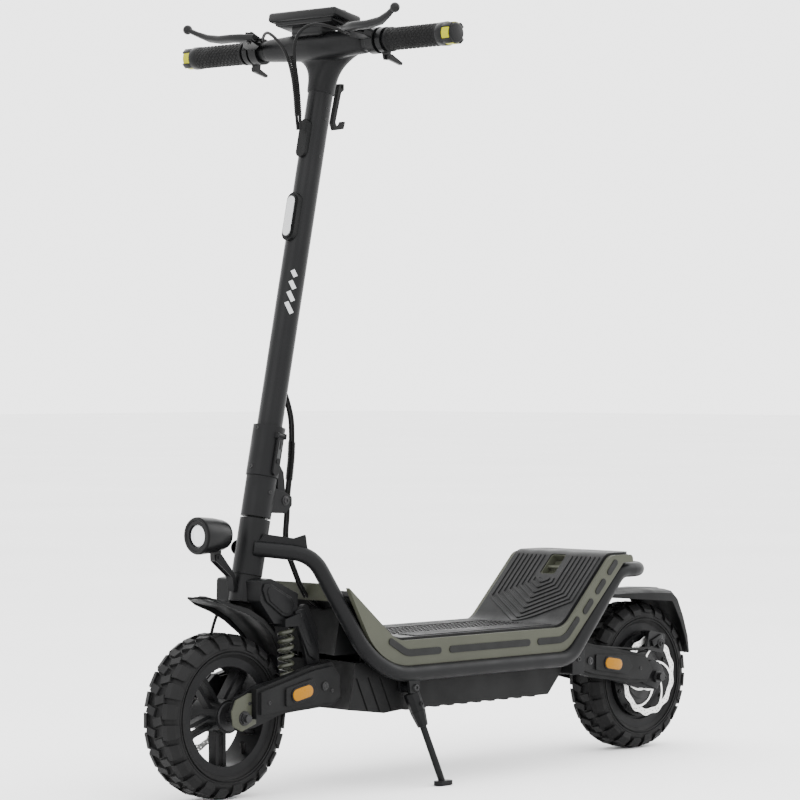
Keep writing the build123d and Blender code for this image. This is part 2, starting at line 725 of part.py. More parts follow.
with BuildPart() as grip_end_caps:
    extrude(disc(across(bar_x, cap_inner_y, bar_height), grip_radius - 0.5, bar_radius),
            amount=bar_half_length - cap_inner_y - 10)
    extrude(disc(across(bar_x, bar_half_length - 10, bar_height), grip_radius - 0.5), amount=10)
    mirror(about=Plane.XZ)
write(grip_end_caps, "grip_end_caps")

# brake levers lie in a plane that climbs forward from the bar
lever_out = hypot(lever_forward, lever_up)
lever_dir = Vector(lever_forward, 0, lever_up).normalized()
lever_plane = Plane(origin=(bar_x, 0, bar_height), x_dir=(0, 1, 0), z_dir=(lever_dir.Z, 0, -lever_dir.X))
thumb_y = 150.5
thumb_width = 10.0
thumb_pin_x = bar_x - 6
thumb_pin_z = bar_height - 26
lever_pin = 2.5
lever_half_thickness = 4.0
with BuildPart() as brake_perches:
    extrude(disc(across(bar_x, clamp_y - clamp_width / 2, bar_height), bar_radius + 5, bar_radius),
            amount=clamp_width)
    for low in (lever_half_thickness + fit, -lever_half_thickness - fit - 3):
        perch_side = [(clamp_y - 8, 18), (clamp_y + 8, 18), (clamp_y + 5, 34),
                      (lever_pivot_y + 6, lever_out + 8),
                      (lever_pivot_y - 8, lever_out + 4), (lever_pivot_y - 8, lever_out - 8)]
        extrude(outline(lever_plane.offset(low), perch_side, 2), amount=3)
    perch_web = [(clamp_y - 8, 18), (clamp_y + 8, 18), (clamp_y + 2, 33), (clamp_y - 16, 34),
                 (lever_pivot_y - 8, 38), (lever_pivot_y - 8, 30)]
    extrude(outline(lever_plane, perch_web, 1), amount=lever_half_thickness + fit + 3, both=True)
    # barrel that the cable leaves from
    extrude(disc(across(bar_x + 33, 94, bar_height + 14), 4), amount=14)
    extrude(disc(Plane(origin=lever_plane.from_local_coords(Vector(lever_pivot_y, lever_out, -8)),
                       z_dir=lever_plane.z_dir), lever_pin),
            amount=16)
    # the thumb control's housing, beside the grip
    extrude(disc(across(bar_x, thumb_y - thumb_width / 2, bar_height), bar_radius + 4, bar_radius),
            amount=thumb_width)
    lug = [(bar_x - 14, bar_height - 16), (bar_x + 4, bar_height - 17), (bar_x, bar_height - 31),
           (bar_x - 12, bar_height - 31)]
    extrude(outline(side(thumb_y - thumb_width / 2), lug, 2), amount=-4)
    extrude(disc(across(thumb_pin_x, thumb_y - thumb_width / 2, thumb_pin_z), 2), amount=thumb_width)
    extrude(disc(across(bar_x, thumb_y - 10, bar_height), bar_radius), amount=20, mode=Mode.SUBTRACT)
    mirror(about=Plane.XZ)
write(brake_perches, "brake_perches")

blade_points = [(lever_pivot_y - 3, lever_out + 10), (clamp_y + 14, lever_out + 20), (196, lever_out + 14),
                (lever_tip_y, lever_out + 17), (lever_tip_y, lever_out + 9), (196,
                                                                              lever_out + 5), (clamp_y + 14, lever_out + 8),
                (lever_pivot_y + 8, lever_out - 3), (lever_pivot_y - 4, lever_out - 4)]
with BuildPart() as brake_lever_left:
    extrude(outline(lever_plane, blade_points, 1.5), amount=lever_half_thickness, both=True)
    with Locations(lever_plane.from_local_coords(Vector(lever_tip_y, lever_out + 13, 0))):
        Sphere(7)
    pin_plane = Plane(origin=lever_plane.from_local_coords(Vector(lever_pivot_y, lever_out, -8)),
                      z_dir=lever_plane.z_dir)
    extrude(disc(pin_plane, lever_pin + running), amount=16, mode=Mode.SUBTRACT)
write(brake_lever_left, "brake_lever_left")

with BuildPart() as brake_lever_right:
    mirror(brake_lever_left.part, about=Plane.XZ)
write(brake_lever_right, "brake_lever_right")

# thumb paddles: throttle on the right, lights and horn on the left
paddle_points = [(thumb_pin_x + 5, thumb_pin_z + 3), (thumb_pin_x + 4, thumb_pin_z - 4),
                 (thumb_pin_x - 26, thumb_pin_z - 12),
                 (thumb_pin_x - 28, thumb_pin_z - 8), (thumb_pin_x - 4, thumb_pin_z + 4)]
with BuildPart() as signal_lever:
    extrude(outline(side(thumb_y - thumb_width / 2 + 4 + fit), paddle_points, 1.5),
            amount=-(thumb_width - 4 - 2 * fit))
    extrude(disc(across(thumb_pin_x, thumb_y - 12, thumb_pin_z), 2 + running), amount=24, mode=Mode.SUBTRACT)
write(signal_lever, "signal_lever")

with BuildPart() as throttle_lever:
    mirror(signal_lever.part, about=Plane.XZ)
write(throttle_lever, "throttle_lever")

# display
pod_plane = Plane(origin=(bar_x + 8, 0, bar_height + 42), x_dir=(cos(radians(12)), 0, sin(radians(12))),
                  z_dir=(-sin(radians(12)), 0, cos(radians(12))))
button_radius = 5.0
with BuildPart() as display_pod:
    with BuildSketch(pod_plane.offset(-pod_thickness / 2)):
        RectangleRounded(pod_depth, pod_width, 16)
    extrude(amount=pod_thickness)
    chamfer(display_pod.faces().sort_by(Axis(pod_plane.origin, pod_plane.z_dir))[0].edges(), 5)
    with BuildSketch(pod_plane.offset(pod_thickness / 2 - 1.5)):
        with Locations((4, 0)):
            RectangleRounded(pod_depth - 20, pod_width - 44, 6)
    extrude(amount=3, mode=Mode.SUBTRACT)
    with BuildSketch(pod_plane.offset(-6)):
        with Locations((0, pod_width / 2 - 12)):
            Circle(button_radius + fit)
    extrude(amount=30, mode=Mode.SUBTRACT)
    extrude(outline(side(0), [(bar_x - 14, bar_height + 16), (bar_x + 18, bar_height + 12),
                              (bar_x + 30, bar_height + 40),
                              (bar_x - 18, bar_height + 31)], 2), amount=28, both=True)
    extrude(disc(bar_axis, bar_radius + 4), amount=60, both=True, mode=Mode.SUBTRACT)
    extrude(disc(steer.offset(along(shell_low)), stem_radius + 2), amount=along(64), mode=Mode.SUBTRACT)
write(display_pod, "display_pod")

with BuildPart() as display_screen:
    with BuildSketch(pod_plane.offset(pod_thickness / 2 - 1.5)):
        with Locations((4, 0)):
            RectangleRounded(pod_depth - 20, pod_width - 44, 6)
    extrude(amount=1.2)
write(display_screen, "display_screen")

with BuildPart() as display_button:
    with BuildSketch(pod_plane.offset(pod_thickness / 2 - 6)):
        with Locations((0, pod_width / 2 - 12)):
            Circle(button_radius)
    extrude(amount=8)
write(display_button, "display_button")

# white reflector in its housing on the front of the stem, and the cable port above it
with BuildPart() as stem_fittings:
    plate = Plane(origin=steer.from_local_coords(Vector(stem_radius - 4, 0, along(898))),
                  x_dir=steer.z_dir, z_dir=steer.x_dir)
    with BuildSketch(plate):
        SlotOverall(78, 26)
    extrude(amount=9)
    with BuildSketch(plate.offset(9)):
        SlotOverall(70, 20)
    extrude(amount=2.5)
    port_plate = Plane(origin=steer.from_local_coords(Vector(stem_radius - 3, 0, along(1023))),
                       x_dir=steer.z_dir, z_dir=steer.x_dir)
    with BuildSketch(port_plate):
        SlotOverall(62, 20)
    extrude(amount=8)
    extrude(disc(steer.offset(along(840)), stem_radius), amount=along(240), mode=Mode.SUBTRACT)
write(stem_fittings, "stem_fittings")

# ---------------------------------------------------------------- brake cables
upper_left = [(bar_x + 33, 92.1, 1188.5), (bar_x + 54, 64, 1204), (bar_x + 65, 30, 1198),
              (bar_x + 62, 8, 1172),
              (bar_x + 54, 4, 1142), (bar_x + 46, 3.5, 1106), (bar_x + 44, 3.5, 1070), (bar_x + 41, 3.2,
                                                                                        1040)]
upper_right = [(bar_x + 33, -92.1, 1188.5), (bar_x + 56, -64, 1200), (bar_x + 67, -30, 1188),
               (bar_x + 64, -8, 1164),
               (bar_x + 56, -4, 1138), (bar_x + 48, -3.5, 1104), (bar_x + 45, -3.5, 1070), (bar_x + 41,
                                                                                            -3.2, 1040)]
lower_pair = [(346.2, 623), (334, 596), (331, 560), (333, 520), (338, 484), (341, 463)]
with BuildPart() as stem_cables:
    add(cable(upper_left, cable_radius))
    add(cable(upper_right, cable_radius))
    for shift in (-3.2, 3.2):
        add(cable([(x, shift, z) for x, z in lower_pair], cable_radius))
write(stem_cables, "stem_cables")

body_route = [(341, 459), (344, 430), (350, 400), (346, 372), (334, 346), (322, 318), (302, 291),
              (280.5, 283)]
with BuildPart() as body_cables:
    for shift in (-3.2, 3.2):
        add(cable([(x, shift + step * 2.0, z) for step, (x, z) in enumerate(body_route)], cable_radius))
write(body_cables, "body_cables")

# ================================================================ front swing arm and wheel
front_plate_points = [(front_axle_x + 24, 140), (front_axle_x + 14, 160), (470, 176), (352, 192),
                      (326, 186), (322, 152),
                      (352, 146), (470, 112), (506, 108)]
with BuildPart() as front_swingarm:
    extrude(outline(side(arm_plate_y), front_plate_points, 6), amount=-arm_plate_thickness)
    # seat for the spring, on the inside of the plate
    seat_low = front_spring_low - 9
    seat = [(front_spring_x - 14, seat_low), (front_spring_x + 14, seat_low),
            (front_spring_x + 14, front_spring_low),
            (front_spring_x - 14, front_spring_low)]
    extrude(outline(side(36), seat, 1), amount=-(arm_plate_y - 36))
    mirror(about=Plane.XZ)
    extrude(disc(across(front_pivot_x, -70, pivot_z), pivot_bolt_radius + running), amount=140,
            mode=Mode.SUBTRACT)
    extrude(disc(across(front_axle_x, -70, axle_z), axle_radius), amount=140, mode=Mode.SUBTRACT)
write(front_swingarm, "front_swingarm")


def cover_solid(points, pad):
    """An arm cover: a faceted block outside the arm plate, with a raised pad for its reflector."""
    with BuildPart(mode=Mode.PRIVATE) as cover:
        extrude(outline(side(arm_outer_y), points), amount=-(cover_thickness - 8))
        with BuildSketch(side(cover_outer_y - 8)) as face:
            Polygon(*points, align=None)
            offset(amount=-6)
        extrude(amount=-5)
        extrude(outline(side(cover_outer_y - 3), pad, 3), amount=-3)
    return cover.part


front_cover_points = [(480, 126), (480, 172), (360, 200), (318, 204), (300, 184), (298, 146), (318, 136),
                      (400, 132)]
front_pad = [(424, 142), (424, 170), (366, 182), (354, 158), (366, 148)]
with BuildPart() as front_arm_covers:
    add(cover_solid(front_cover_points, front_pad))
    mirror(about=Plane.XZ)
write(front_arm_covers, "front_arm_covers")

reflector_tilt = 11.0
with BuildPart() as front_reflectors:
    with BuildSketch(side(cover_outer_y)):
        with Locations((390, 161)):
            SlotOverall(34, 16, rotation=-reflector_tilt)
    extrude(amount=-3)
    mirror(about=Plane.XZ)
write(front_reflectors, "front_reflectors")


def coil_envelope(low, high, outer, inner):
    """The space that a coil spring fills between two points, as a tube."""
    stand = Plane(origin=low, z_dir=Vector(*high) - Vector(*low))
    return extrude(disc(stand, outer, inner), amount=(Vector(*high) - Vector(*low)).length, mode=Mode.PRIVATE)


with BuildPart() as front_springs:
    add(coil_envelope((front_spring_x, spring_y, front_spring_low),
                      (front_spring_x, spring_y, front_spring_high - fit),
                      spring_radius, spring_hole))
    mirror(about=Plane.XZ)
write(front_springs, "front_springs")

nut_radius = 9.5
with BuildPart() as front_axle:
    extrude(disc(across(front_axle_x, -76, axle_z), axle_radius), amount=152)
    with BuildSketch(across(front_axle_x, arm_outer_y, axle_z)):
        RegularPolygon(nut_radius, 6)
    extrude(amount=8)
    with BuildSketch(across(front_axle_x, -arm_outer_y - 8, axle_z)):
        RegularPolygon(nut_radius, 6)
    extrude(amount=8)
    # spacers between the arm plates and the wheel bearings
    spacer = arm_plate_y - hub_half_width
    extrude(disc(across(front_axle_x, hub_half_width, axle_z), 9), amount=spacer)
    extrude(disc(across(front_axle_x, -arm_plate_y, axle_z), 9), amount=spacer)
write(front_axle, "front_axle")


def caliper(x, y, z, turn):
    """A brake caliper: two halves either side of the rotor, joined over its rim."""
    frame_plane = Plane(origin=(x, y, z), x_dir=(cos(turn), 0, sin(turn)), z_dir=(0, 1, 0))
    with BuildPart(mode=Mode.PRIVATE) as body:
        with BuildSketch(frame_plane.offset(-9)):
            RectangleRounded(34, 46, 6)
        extrude(amount=18)
        with BuildSketch(frame_plane.offset(-rotor_thickness / 2 - 0.6)):
            with Locations((16, 0)):
                Rectangle(55, 60)
        extrude(amount=rotor_thickness + 1.2, mode=Mode.SUBTRACT)
    return body.part


front_caliper_turn = radians(-40)
front_caliper_x = front_axle_x - 52 * cos(front_caliper_turn)
front_caliper_z = axle_z - 52 * sin(front_caliper_turn)
with BuildPart() as front_caliper:
    add(caliper(front_caliper_x, -rotor_y, front_caliper_z, front_caliper_turn))
write(front_caliper, "front_caliper")

brake_run = [(442.3, -45, 292.8), (448, -52, 272), (454, -56, 244), (458, -54, 216), (457, -47, 188.5)]
with BuildPart() as front_brake_cable:
    add(cable(brake_run, cable_radius))
write(front_brake_cable, "front_brake_cable")

tyre_wall = 7.0


def tyre_section(x):
    """A tyre's open section: beads on the rim, bulged walls and a crowned tread."""
    with BuildSketch(radial(x, axle_z)) as section:
        with BuildLine():
            Polyline((-24, bead_radius), (-tyre_half_width, bead_radius + 12),
                     (-tyre_half_width, tyre_radius - 17),
                     (-26, tyre_radius - 3))
            ThreePointArc((-26, tyre_radius - 3), (0, tyre_radius), (26, tyre_radius - 3))
            Polyline((26, tyre_radius - 3), (tyre_half_width, tyre_radius - 17),
                     (tyre_half_width, bead_radius + 12),
                     (24, bead_radius), (24 - tyre_wall, bead_radius), (27, bead_radius + 13),
                     (27, tyre_radius - 21), (18, tyre_radius - 13), (-18, tyre_radius - 13),
                     (-27, tyre_radius - 21), (-27, bead_radius + 13), (tyre_wall - 24, bead_radius),
                     (-24, bead_radius))
        make_face()
    return section.sketch


def rim_section(x, floor):
    """A rim's section: a thin barrel with a flange each side, seating the tyre's beads."""
    with BuildSketch(radial(x, axle_z)) as section:
        Polygon((-rim_half_width, floor - rim_wall), (rim_half_width, floor - rim_wall),
                (rim_half_width, bead_radius + 4),
                (25, bead_radius + 4), (24.5, bead_radius), (17, bead_radius), (13, floor), (-13, floor),
                (-17, bead_radius), (-24.5, bead_radius), (-25, bead_radius + 4), (-rim_half_width,
                                                                                   bead_radius + 4), align=None)
    return section.sketch


with BuildPart() as front_tyre:
    revolve(tyre_section(front_axle_x), axis=axle(front_axle_x, axle_z))
    revolve(rim_section(front_axle_x, bead_radius - 8), axis=axle(front_axle_x, axle_z), mode=Mode.SUBTRACT)
write(front_tyre, "front_tyre")

rib_width = 6.0
rib_gap = 5.0
with BuildPart() as front_rim:
    revolve(rim_section(front_axle_x, bead_radius - 8), axis=axle(front_axle_x, axle_z))
    extrude(disc(across(front_axle_x, -hub_half_width, axle_z), hub_radius), amount=2 * hub_half_width)
    with BuildSketch(across(front_axle_x, -4, axle_z)):
        with PolarLocations(0, spoke_count, start_angle=18):
            for shift in (-rib_gap - rib_width / 2, rib_gap + rib_width / 2):
                with Locations((hub_radius - 3, shift)):
                    Rectangle(bead_radius - 8 - hub_radius + 2, rib_width, align=(Align.MIN, Align.CENTER))
    extrude(amount=16)
    extrude(disc(across(front_axle_x, -40, axle_z), bearing_radius), amount=80, mode=Mode.SUBTRACT)
write(front_rim, "front_rim")

with BuildPart() as front_bearings:
    for low in (-hub_half_width + 0.5, hub_half_width - 0.5 - bearing_width):
        extrude(disc(across(front_axle_x, low, axle_z), bearing_radius, axle_radius + running),
                amount=bearing_width)
write(front_bearings, "front_bearings")


def rotor(x, y, radius, carrier):
    """A brake rotor: a drilled ring on five arms round its carrier."""
    with BuildPart(mode=Mode.PRIVATE) as plate:
        with BuildSketch(across(x, y - rotor_thickness / 2, axle_z)):
            Circle(radius)
            with PolarLocations((radius - 16 + carrier) / 2, 5):
                Circle((radius - 16 - carrier) / 2 - 2, mode=Mode.SUBTRACT)
            with PolarLocations(radius - 8, 15):
                Circle(3, mode=Mode.SUBTRACT)
            Circle(carrier - 8, mode=Mode.SUBTRACT)
        extrude(amount=rotor_thickness)
    return plate.part


with BuildPart() as front_rotor:
    add(rotor(front_axle_x, -rotor_y, front_rotor_radius, 24))
    # the carrier that holds the rotor off the hub
    extrude(disc(across(front_axle_x, -rotor_y + rotor_thickness / 2, axle_z), 24, 15),
            amount=rotor_y - rotor_thickness / 2 - hub_half_width)
write(front_rotor, "front_rotor")

# ================================================================ rear swing arm and wheel
rear_plate_points = [(rear_axle_x - 24, 126), (rear_axle_x - 12, 152), (-440, 166), (-310, 190),
                     (-280, 188), (-274, 156),
                     (-300, 146), (-440, 112), (rear_axle_x - 8, 104)]
arm_bridge_radius = 10.0
arm_bridge_z = rear_spring_low - 3 - arm_bridge_radius
with BuildPart() as rear_swingarm:
    extrude(outline(side(arm_plate_y), rear_plate_points, 6), amount=-arm_plate_thickness)
    extrude(disc(across(rear_spring_x, 0, arm_bridge_z), arm_bridge_radius), amount=arm_plate_y)
    lower_seat = Plane(origin=(rear_spring_x, rear_spring_y, rear_spring_low - 6), z_dir=(0, 0, 1))
    extrude(disc(lower_seat, spring_radius + 2), amount=6)
    mirror(about=Plane.XZ)
    extrude(disc(across(rear_pivot_x, -70, pivot_z), pivot_bolt_radius + running), amount=140,
            mode=Mode.SUBTRACT)
    extrude(disc(across(rear_axle_x, -70, axle_z), motor_axle_radius), amount=140, mode=Mode.SUBTRACT)
write(rear_swingarm, "rear_swingarm")

rear_cover_points = [(-257, 207), (-312, 194), (-445, 170), (-466, 142), (-448, 121), (-400, 124),
                     (-300, 140), (-257, 152)]
rear_pad = [(-306, 152), (-306, 178), (-386, 172), (-402, 152), (-386, 140)]
with BuildPart() as rear_arm_covers:
    add(cover_solid(rear_cover_points, rear_pad))
    mirror(about=Plane.XZ)
write(rear_arm_covers, "rear_arm_covers")

with BuildPart() as rear_reflectors:
    with BuildSketch(side(cover_outer_y)):
        with Locations((-350, 160)):
            SlotOverall(34, 16, rotation=9)
    extrude(amount=-3)
    mirror(about=Plane.XZ)
write(rear_reflectors, "rear_reflectors")

with BuildPart() as rear_springs:
    add(coil_envelope((rear_spring_x, rear_spring_y, rear_spring_low),
                      (rear_spring_x, rear_spring_y, rear_spring_high - fit),
                      spring_radius, spring_hole))
    mirror(about=Plane.XZ)
write(rear_springs, "rear_springs")

stator_radius = 62.0
stator_half_width = 18.0
with BuildPart() as rear_axle:
    extrude(disc(across(rear_axle_x, -80, axle_z), motor_axle_radius), amount=160)
    for low in (arm_outer_y, -arm_outer_y - 9):
        with BuildSketch(across(rear_axle_x, low, axle_z)):
            RegularPolygon(nut_radius + 2, 6)
        extrude(amount=9)
    spacer = arm_plate_y - motor_half_width - fit
    extrude(disc(across(rear_axle_x, motor_half_width + fit, axle_z), 10), amount=spacer)
    extrude(disc(across(rear_axle_x, -arm_plate_y, axle_z), 10), amount=spacer)
    # the motor's stator, fixed to the axle inside the hub
    extrude(disc(across(rear_axle_x, -stator_half_width, axle_z), stator_radius),
            amount=2 * stator_half_width)
write(rear_axle, "rear_axle")

with BuildPart() as rear_caliper:
    rear_caliper_turn = radians(-79)
    rear_caliper_x = rear_axle_x - 60 * cos(rear_caliper_turn)
    rear_caliper_z = axle_z - 60 * sin(rear_caliper_turn)
    add(caliper(rear_caliper_x, rotor_y, rear_caliper_z, rear_caliper_turn))
write(rear_caliper, "rear_caliper")

fender_gap = 44.0
with BuildPart() as rear_fender:
    with BuildSketch(side(0)):
        with BuildLine():
            FilletPolyline((-378, 272), (-432, 277), (-562, 273), (-592, 228), (-620, 162),
                           radius=[60, 12, 60])
        trace(line_width=3)
    extrude(amount=46, both=True)
    # side skirts
    skirt = [(-384, 268), (-432, 273), (-560, 269), (-592, 224), (-620, 164), (-598, 172), (-572, 216),
             (-540, 246), (-440, 252)]
    extrude(outline(side(43), skirt, 1), amount=-3)
    # stay from the axle to the fender's tail
    stay = [(rear_axle_x + 13, 118), (rear_axle_x + 13, 140), (rear_axle_x - 22, 146), (-597, 204),
            (-607, 193),
            (rear_axle_x - 22, 120)]
    extrude(outline(side(50), stay, 2), amount=-4)
    extrude(outline(side(43), [(-590, 190), (-590, 204), (-598, 204), (-606, 193), (-602, 186)], 1),
            amount=-11)
    mirror(about=Plane.XZ)
    extrude(disc(across(rear_axle_x, -80, axle_z), 10), amount=160, mode=Mode.SUBTRACT)
write(rear_fender, "rear_fender")

with BuildPart() as rear_tyre:
    revolve(tyre_section(rear_axle_x), axis=axle(rear_axle_x, axle_z))
    revolve(rim_section(rear_axle_x, bead_radius - 8), axis=axle(rear_axle_x, axle_z), mode=Mode.SUBTRACT)
write(rear_tyre, "rear_tyre")

with BuildPart() as hub_motor:
    revolve(rim_section(rear_axle_x, bead_radius - 8), axis=axle(rear_axle_x, axle_z))
    extrude(disc(across(rear_axle_x, -22, axle_z), bead_radius - 9, bead_radius - 16), amount=44)
    for low in (-motor_half_width, motor_half_width - 14):
        extrude(disc(across(rear_axle_x, low, axle_z), 72, bearing_radius), amount=14)
    for low in (-22, 18):
        extrude(disc(across(rear_axle_x, low, axle_z), bead_radius - 10, bearing_radius), amount=4)
    extrude(disc(across(rear_axle_x, -19, axle_z), 70, 64), amount=38)
write(hub_motor, "hub_motor")

with BuildPart() as rear_bearings:
    for low in (-motor_half_width + 1, motor_half_width - 1 - bearing_width):
        extrude(disc(across(rear_axle_x, low, axle_z), bearing_radius, motor_axle_radius + running),
                amount=bearing_width)
write(rear_bearings, "rear_bearings")

with BuildPart() as rear_rotor:
    add(rotor(rear_axle_x, rotor_y, rear_rotor_radius, 26))
    extrude(disc(across(rear_axle_x, motor_half_width, axle_z), 26, 16),
            amount=rotor_y - rotor_thickness / 2 - motor_half_width)
write(rear_rotor, "rear_rotor")
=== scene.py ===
"""Looks of a folding electric kick scooter, built over its packed mechanical frame.

+X is forward, +Y is the rider's left, +Z is up, in metres.  Every finished piece keeps its place in
its mesh; all but the cables across the fold ride on the body of the frame that carries them.
"""

import logging
from dataclasses import dataclass, field
from enum import Enum
from math import cos, hypot, pi, radians, sin, tau

import bmesh
import bpy
from mathutils import Matrix, Vector
from mathutils.bvhtree import BVHTree


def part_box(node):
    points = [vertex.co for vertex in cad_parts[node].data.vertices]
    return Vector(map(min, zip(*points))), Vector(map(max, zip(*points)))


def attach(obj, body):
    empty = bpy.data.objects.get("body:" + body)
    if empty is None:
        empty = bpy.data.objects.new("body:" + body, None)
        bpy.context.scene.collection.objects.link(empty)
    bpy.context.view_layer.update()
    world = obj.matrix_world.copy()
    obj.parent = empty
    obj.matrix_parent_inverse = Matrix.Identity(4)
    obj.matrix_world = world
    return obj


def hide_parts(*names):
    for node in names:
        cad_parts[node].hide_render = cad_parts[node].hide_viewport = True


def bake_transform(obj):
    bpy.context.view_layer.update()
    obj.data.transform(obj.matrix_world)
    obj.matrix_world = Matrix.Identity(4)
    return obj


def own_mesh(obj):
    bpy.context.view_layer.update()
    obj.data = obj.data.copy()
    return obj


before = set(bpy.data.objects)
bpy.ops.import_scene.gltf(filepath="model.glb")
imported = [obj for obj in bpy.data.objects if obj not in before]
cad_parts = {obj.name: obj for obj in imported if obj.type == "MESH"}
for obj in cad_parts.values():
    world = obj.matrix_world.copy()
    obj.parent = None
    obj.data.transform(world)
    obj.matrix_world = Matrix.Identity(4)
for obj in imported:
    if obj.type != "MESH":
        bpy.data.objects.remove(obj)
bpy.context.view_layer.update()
LOG = logging.getLogger("scooter")

Point = tuple[float, float, float]
Colour = tuple[float, float, float]

FORWARD = Vector((1, 0, 0)).freeze()
LEFTWARD = Vector((0, 1, 0)).freeze()
UPWARD = Vector((0, 0, 1)).freeze()
CABLE_RADIUS = 0.0025
SEAM = 1e-6


def middle_of(node: str) -> Vector:
    """The middle of a node's box, to a hundredth of a millimetre."""
    low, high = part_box(node)
    return Vector([round((near + far) / 2, 5) for near, far in zip(low, high)])


# ---------------------------------------------------------------------------- finishes
class Grain(Enum):
    """How the fine relief of a finish is laid out."""

    FINE = "fine"
    BRUSHED = "brushed"
    RIBBED = "ribbed"
    PRISM = "prism"


class NodeBench:
    """A small helper that adds and joins shader nodes in one material."""

    def __init__(self, material: bpy.types.Material) -> None:
        """Clears the material's nodes and adds the output and the main shader."""
        material.use_nodes = True
        self.tree = material.node_tree
        self.tree.nodes.clear()
        self.output = self.tree.nodes.new("ShaderNodeOutputMaterial")
        self.shader = self.tree.nodes.new("ShaderNodeBsdfPrincipled")
        self.join(self.shader.outputs["BSDF"], self.output.inputs["Surface"])
        self.place = self.tree.nodes.new("ShaderNodeTexCoord").outputs["Object"]

    def join(self, source: bpy.types.NodeSocket, target: bpy.types.NodeSocket) -> None:
        """Links one socket to another."""
        self.tree.links.new(source, target)

    def noise(self, scale: float, detail: float = 3.0, stretch: Point = (1, 1, 1)) -> bpy.types.NodeSocket:
        """A noise field on the object's own coordinates.

        Args:
            scale: features per metre.
            detail: octaves of finer noise.
            stretch: how much the field is squeezed along each axis.

        Returns:
            The field's value socket.
        """
        mapping = self.tree.nodes.new("ShaderNodeMapping")
        mapping.inputs["Scale"].default_value = stretch
        self.join(self.place, mapping.inputs["Vector"])
        node = self.tree.nodes.new("ShaderNodeTexNoise")
        node.inputs["Scale"].default_value = scale
        node.inputs["Detail"].default_value = detail
        self.join(mapping.outputs["Vector"], node.inputs["Vector"])
        return node.outputs["Fac"]

    def spread(self, value: bpy.types.NodeSocket, low: float, high: float,
               to: tuple[float, float]) -> bpy.types.NodeSocket:
        """Maps a value from low..high onto a new range."""
        node = self.tree.nodes.new("ShaderNodeMapRange")
        node.inputs["From Min"].default_value = low
        node.inputs["From Max"].default_value = high
        node.inputs["To Min"].default_value = to[0]
        node.inputs["To Max"].default_value = to[1]
        self.join(value, node.inputs["Value"])
        return node.outputs["Result"]

    def maths(self, kind: str, first: bpy.types.NodeSocket,
              second: bpy.types.NodeSocket | float) -> bpy.types.NodeSocket:
        """One arithmetic step on a value."""
        node = self.tree.nodes.new("ShaderNodeMath")
        node.operation = kind
        self.join(first, node.inputs[0])
        if isinstance(second, (int, float)):
            node.inputs[1].default_value = second
        else:
            self.join(second, node.inputs[1])
        return node.outputs[0]

    def blend(self, amount: bpy.types.NodeSocket, low: Colour,
              high: Colour | bpy.types.NodeSocket) -> bpy.types.NodeSocket:
        """Mixes from one colour to another by a value."""
        node = self.tree.nodes.new("ShaderNodeMix")
        node.data_type = "RGBA"
        self.join(amount, node.inputs[0])
        for index, colour in ((6, low), (7, high)):
            if isinstance(colour, tuple):
                node.inputs[index].default_value = (*colour, 1.0)
            else:
                self.join(colour, node.inputs[index])
        return node.outputs[2]

    def axes(self) -> dict[str, bpy.types.NodeSocket]:
        """The object's coordinates as three values."""
        node = self.tree.nodes.new("ShaderNodeSeparateXYZ")
        self.join(self.place, node.inputs[0])
        return {name: node.outputs[name] for name in "XYZ"}


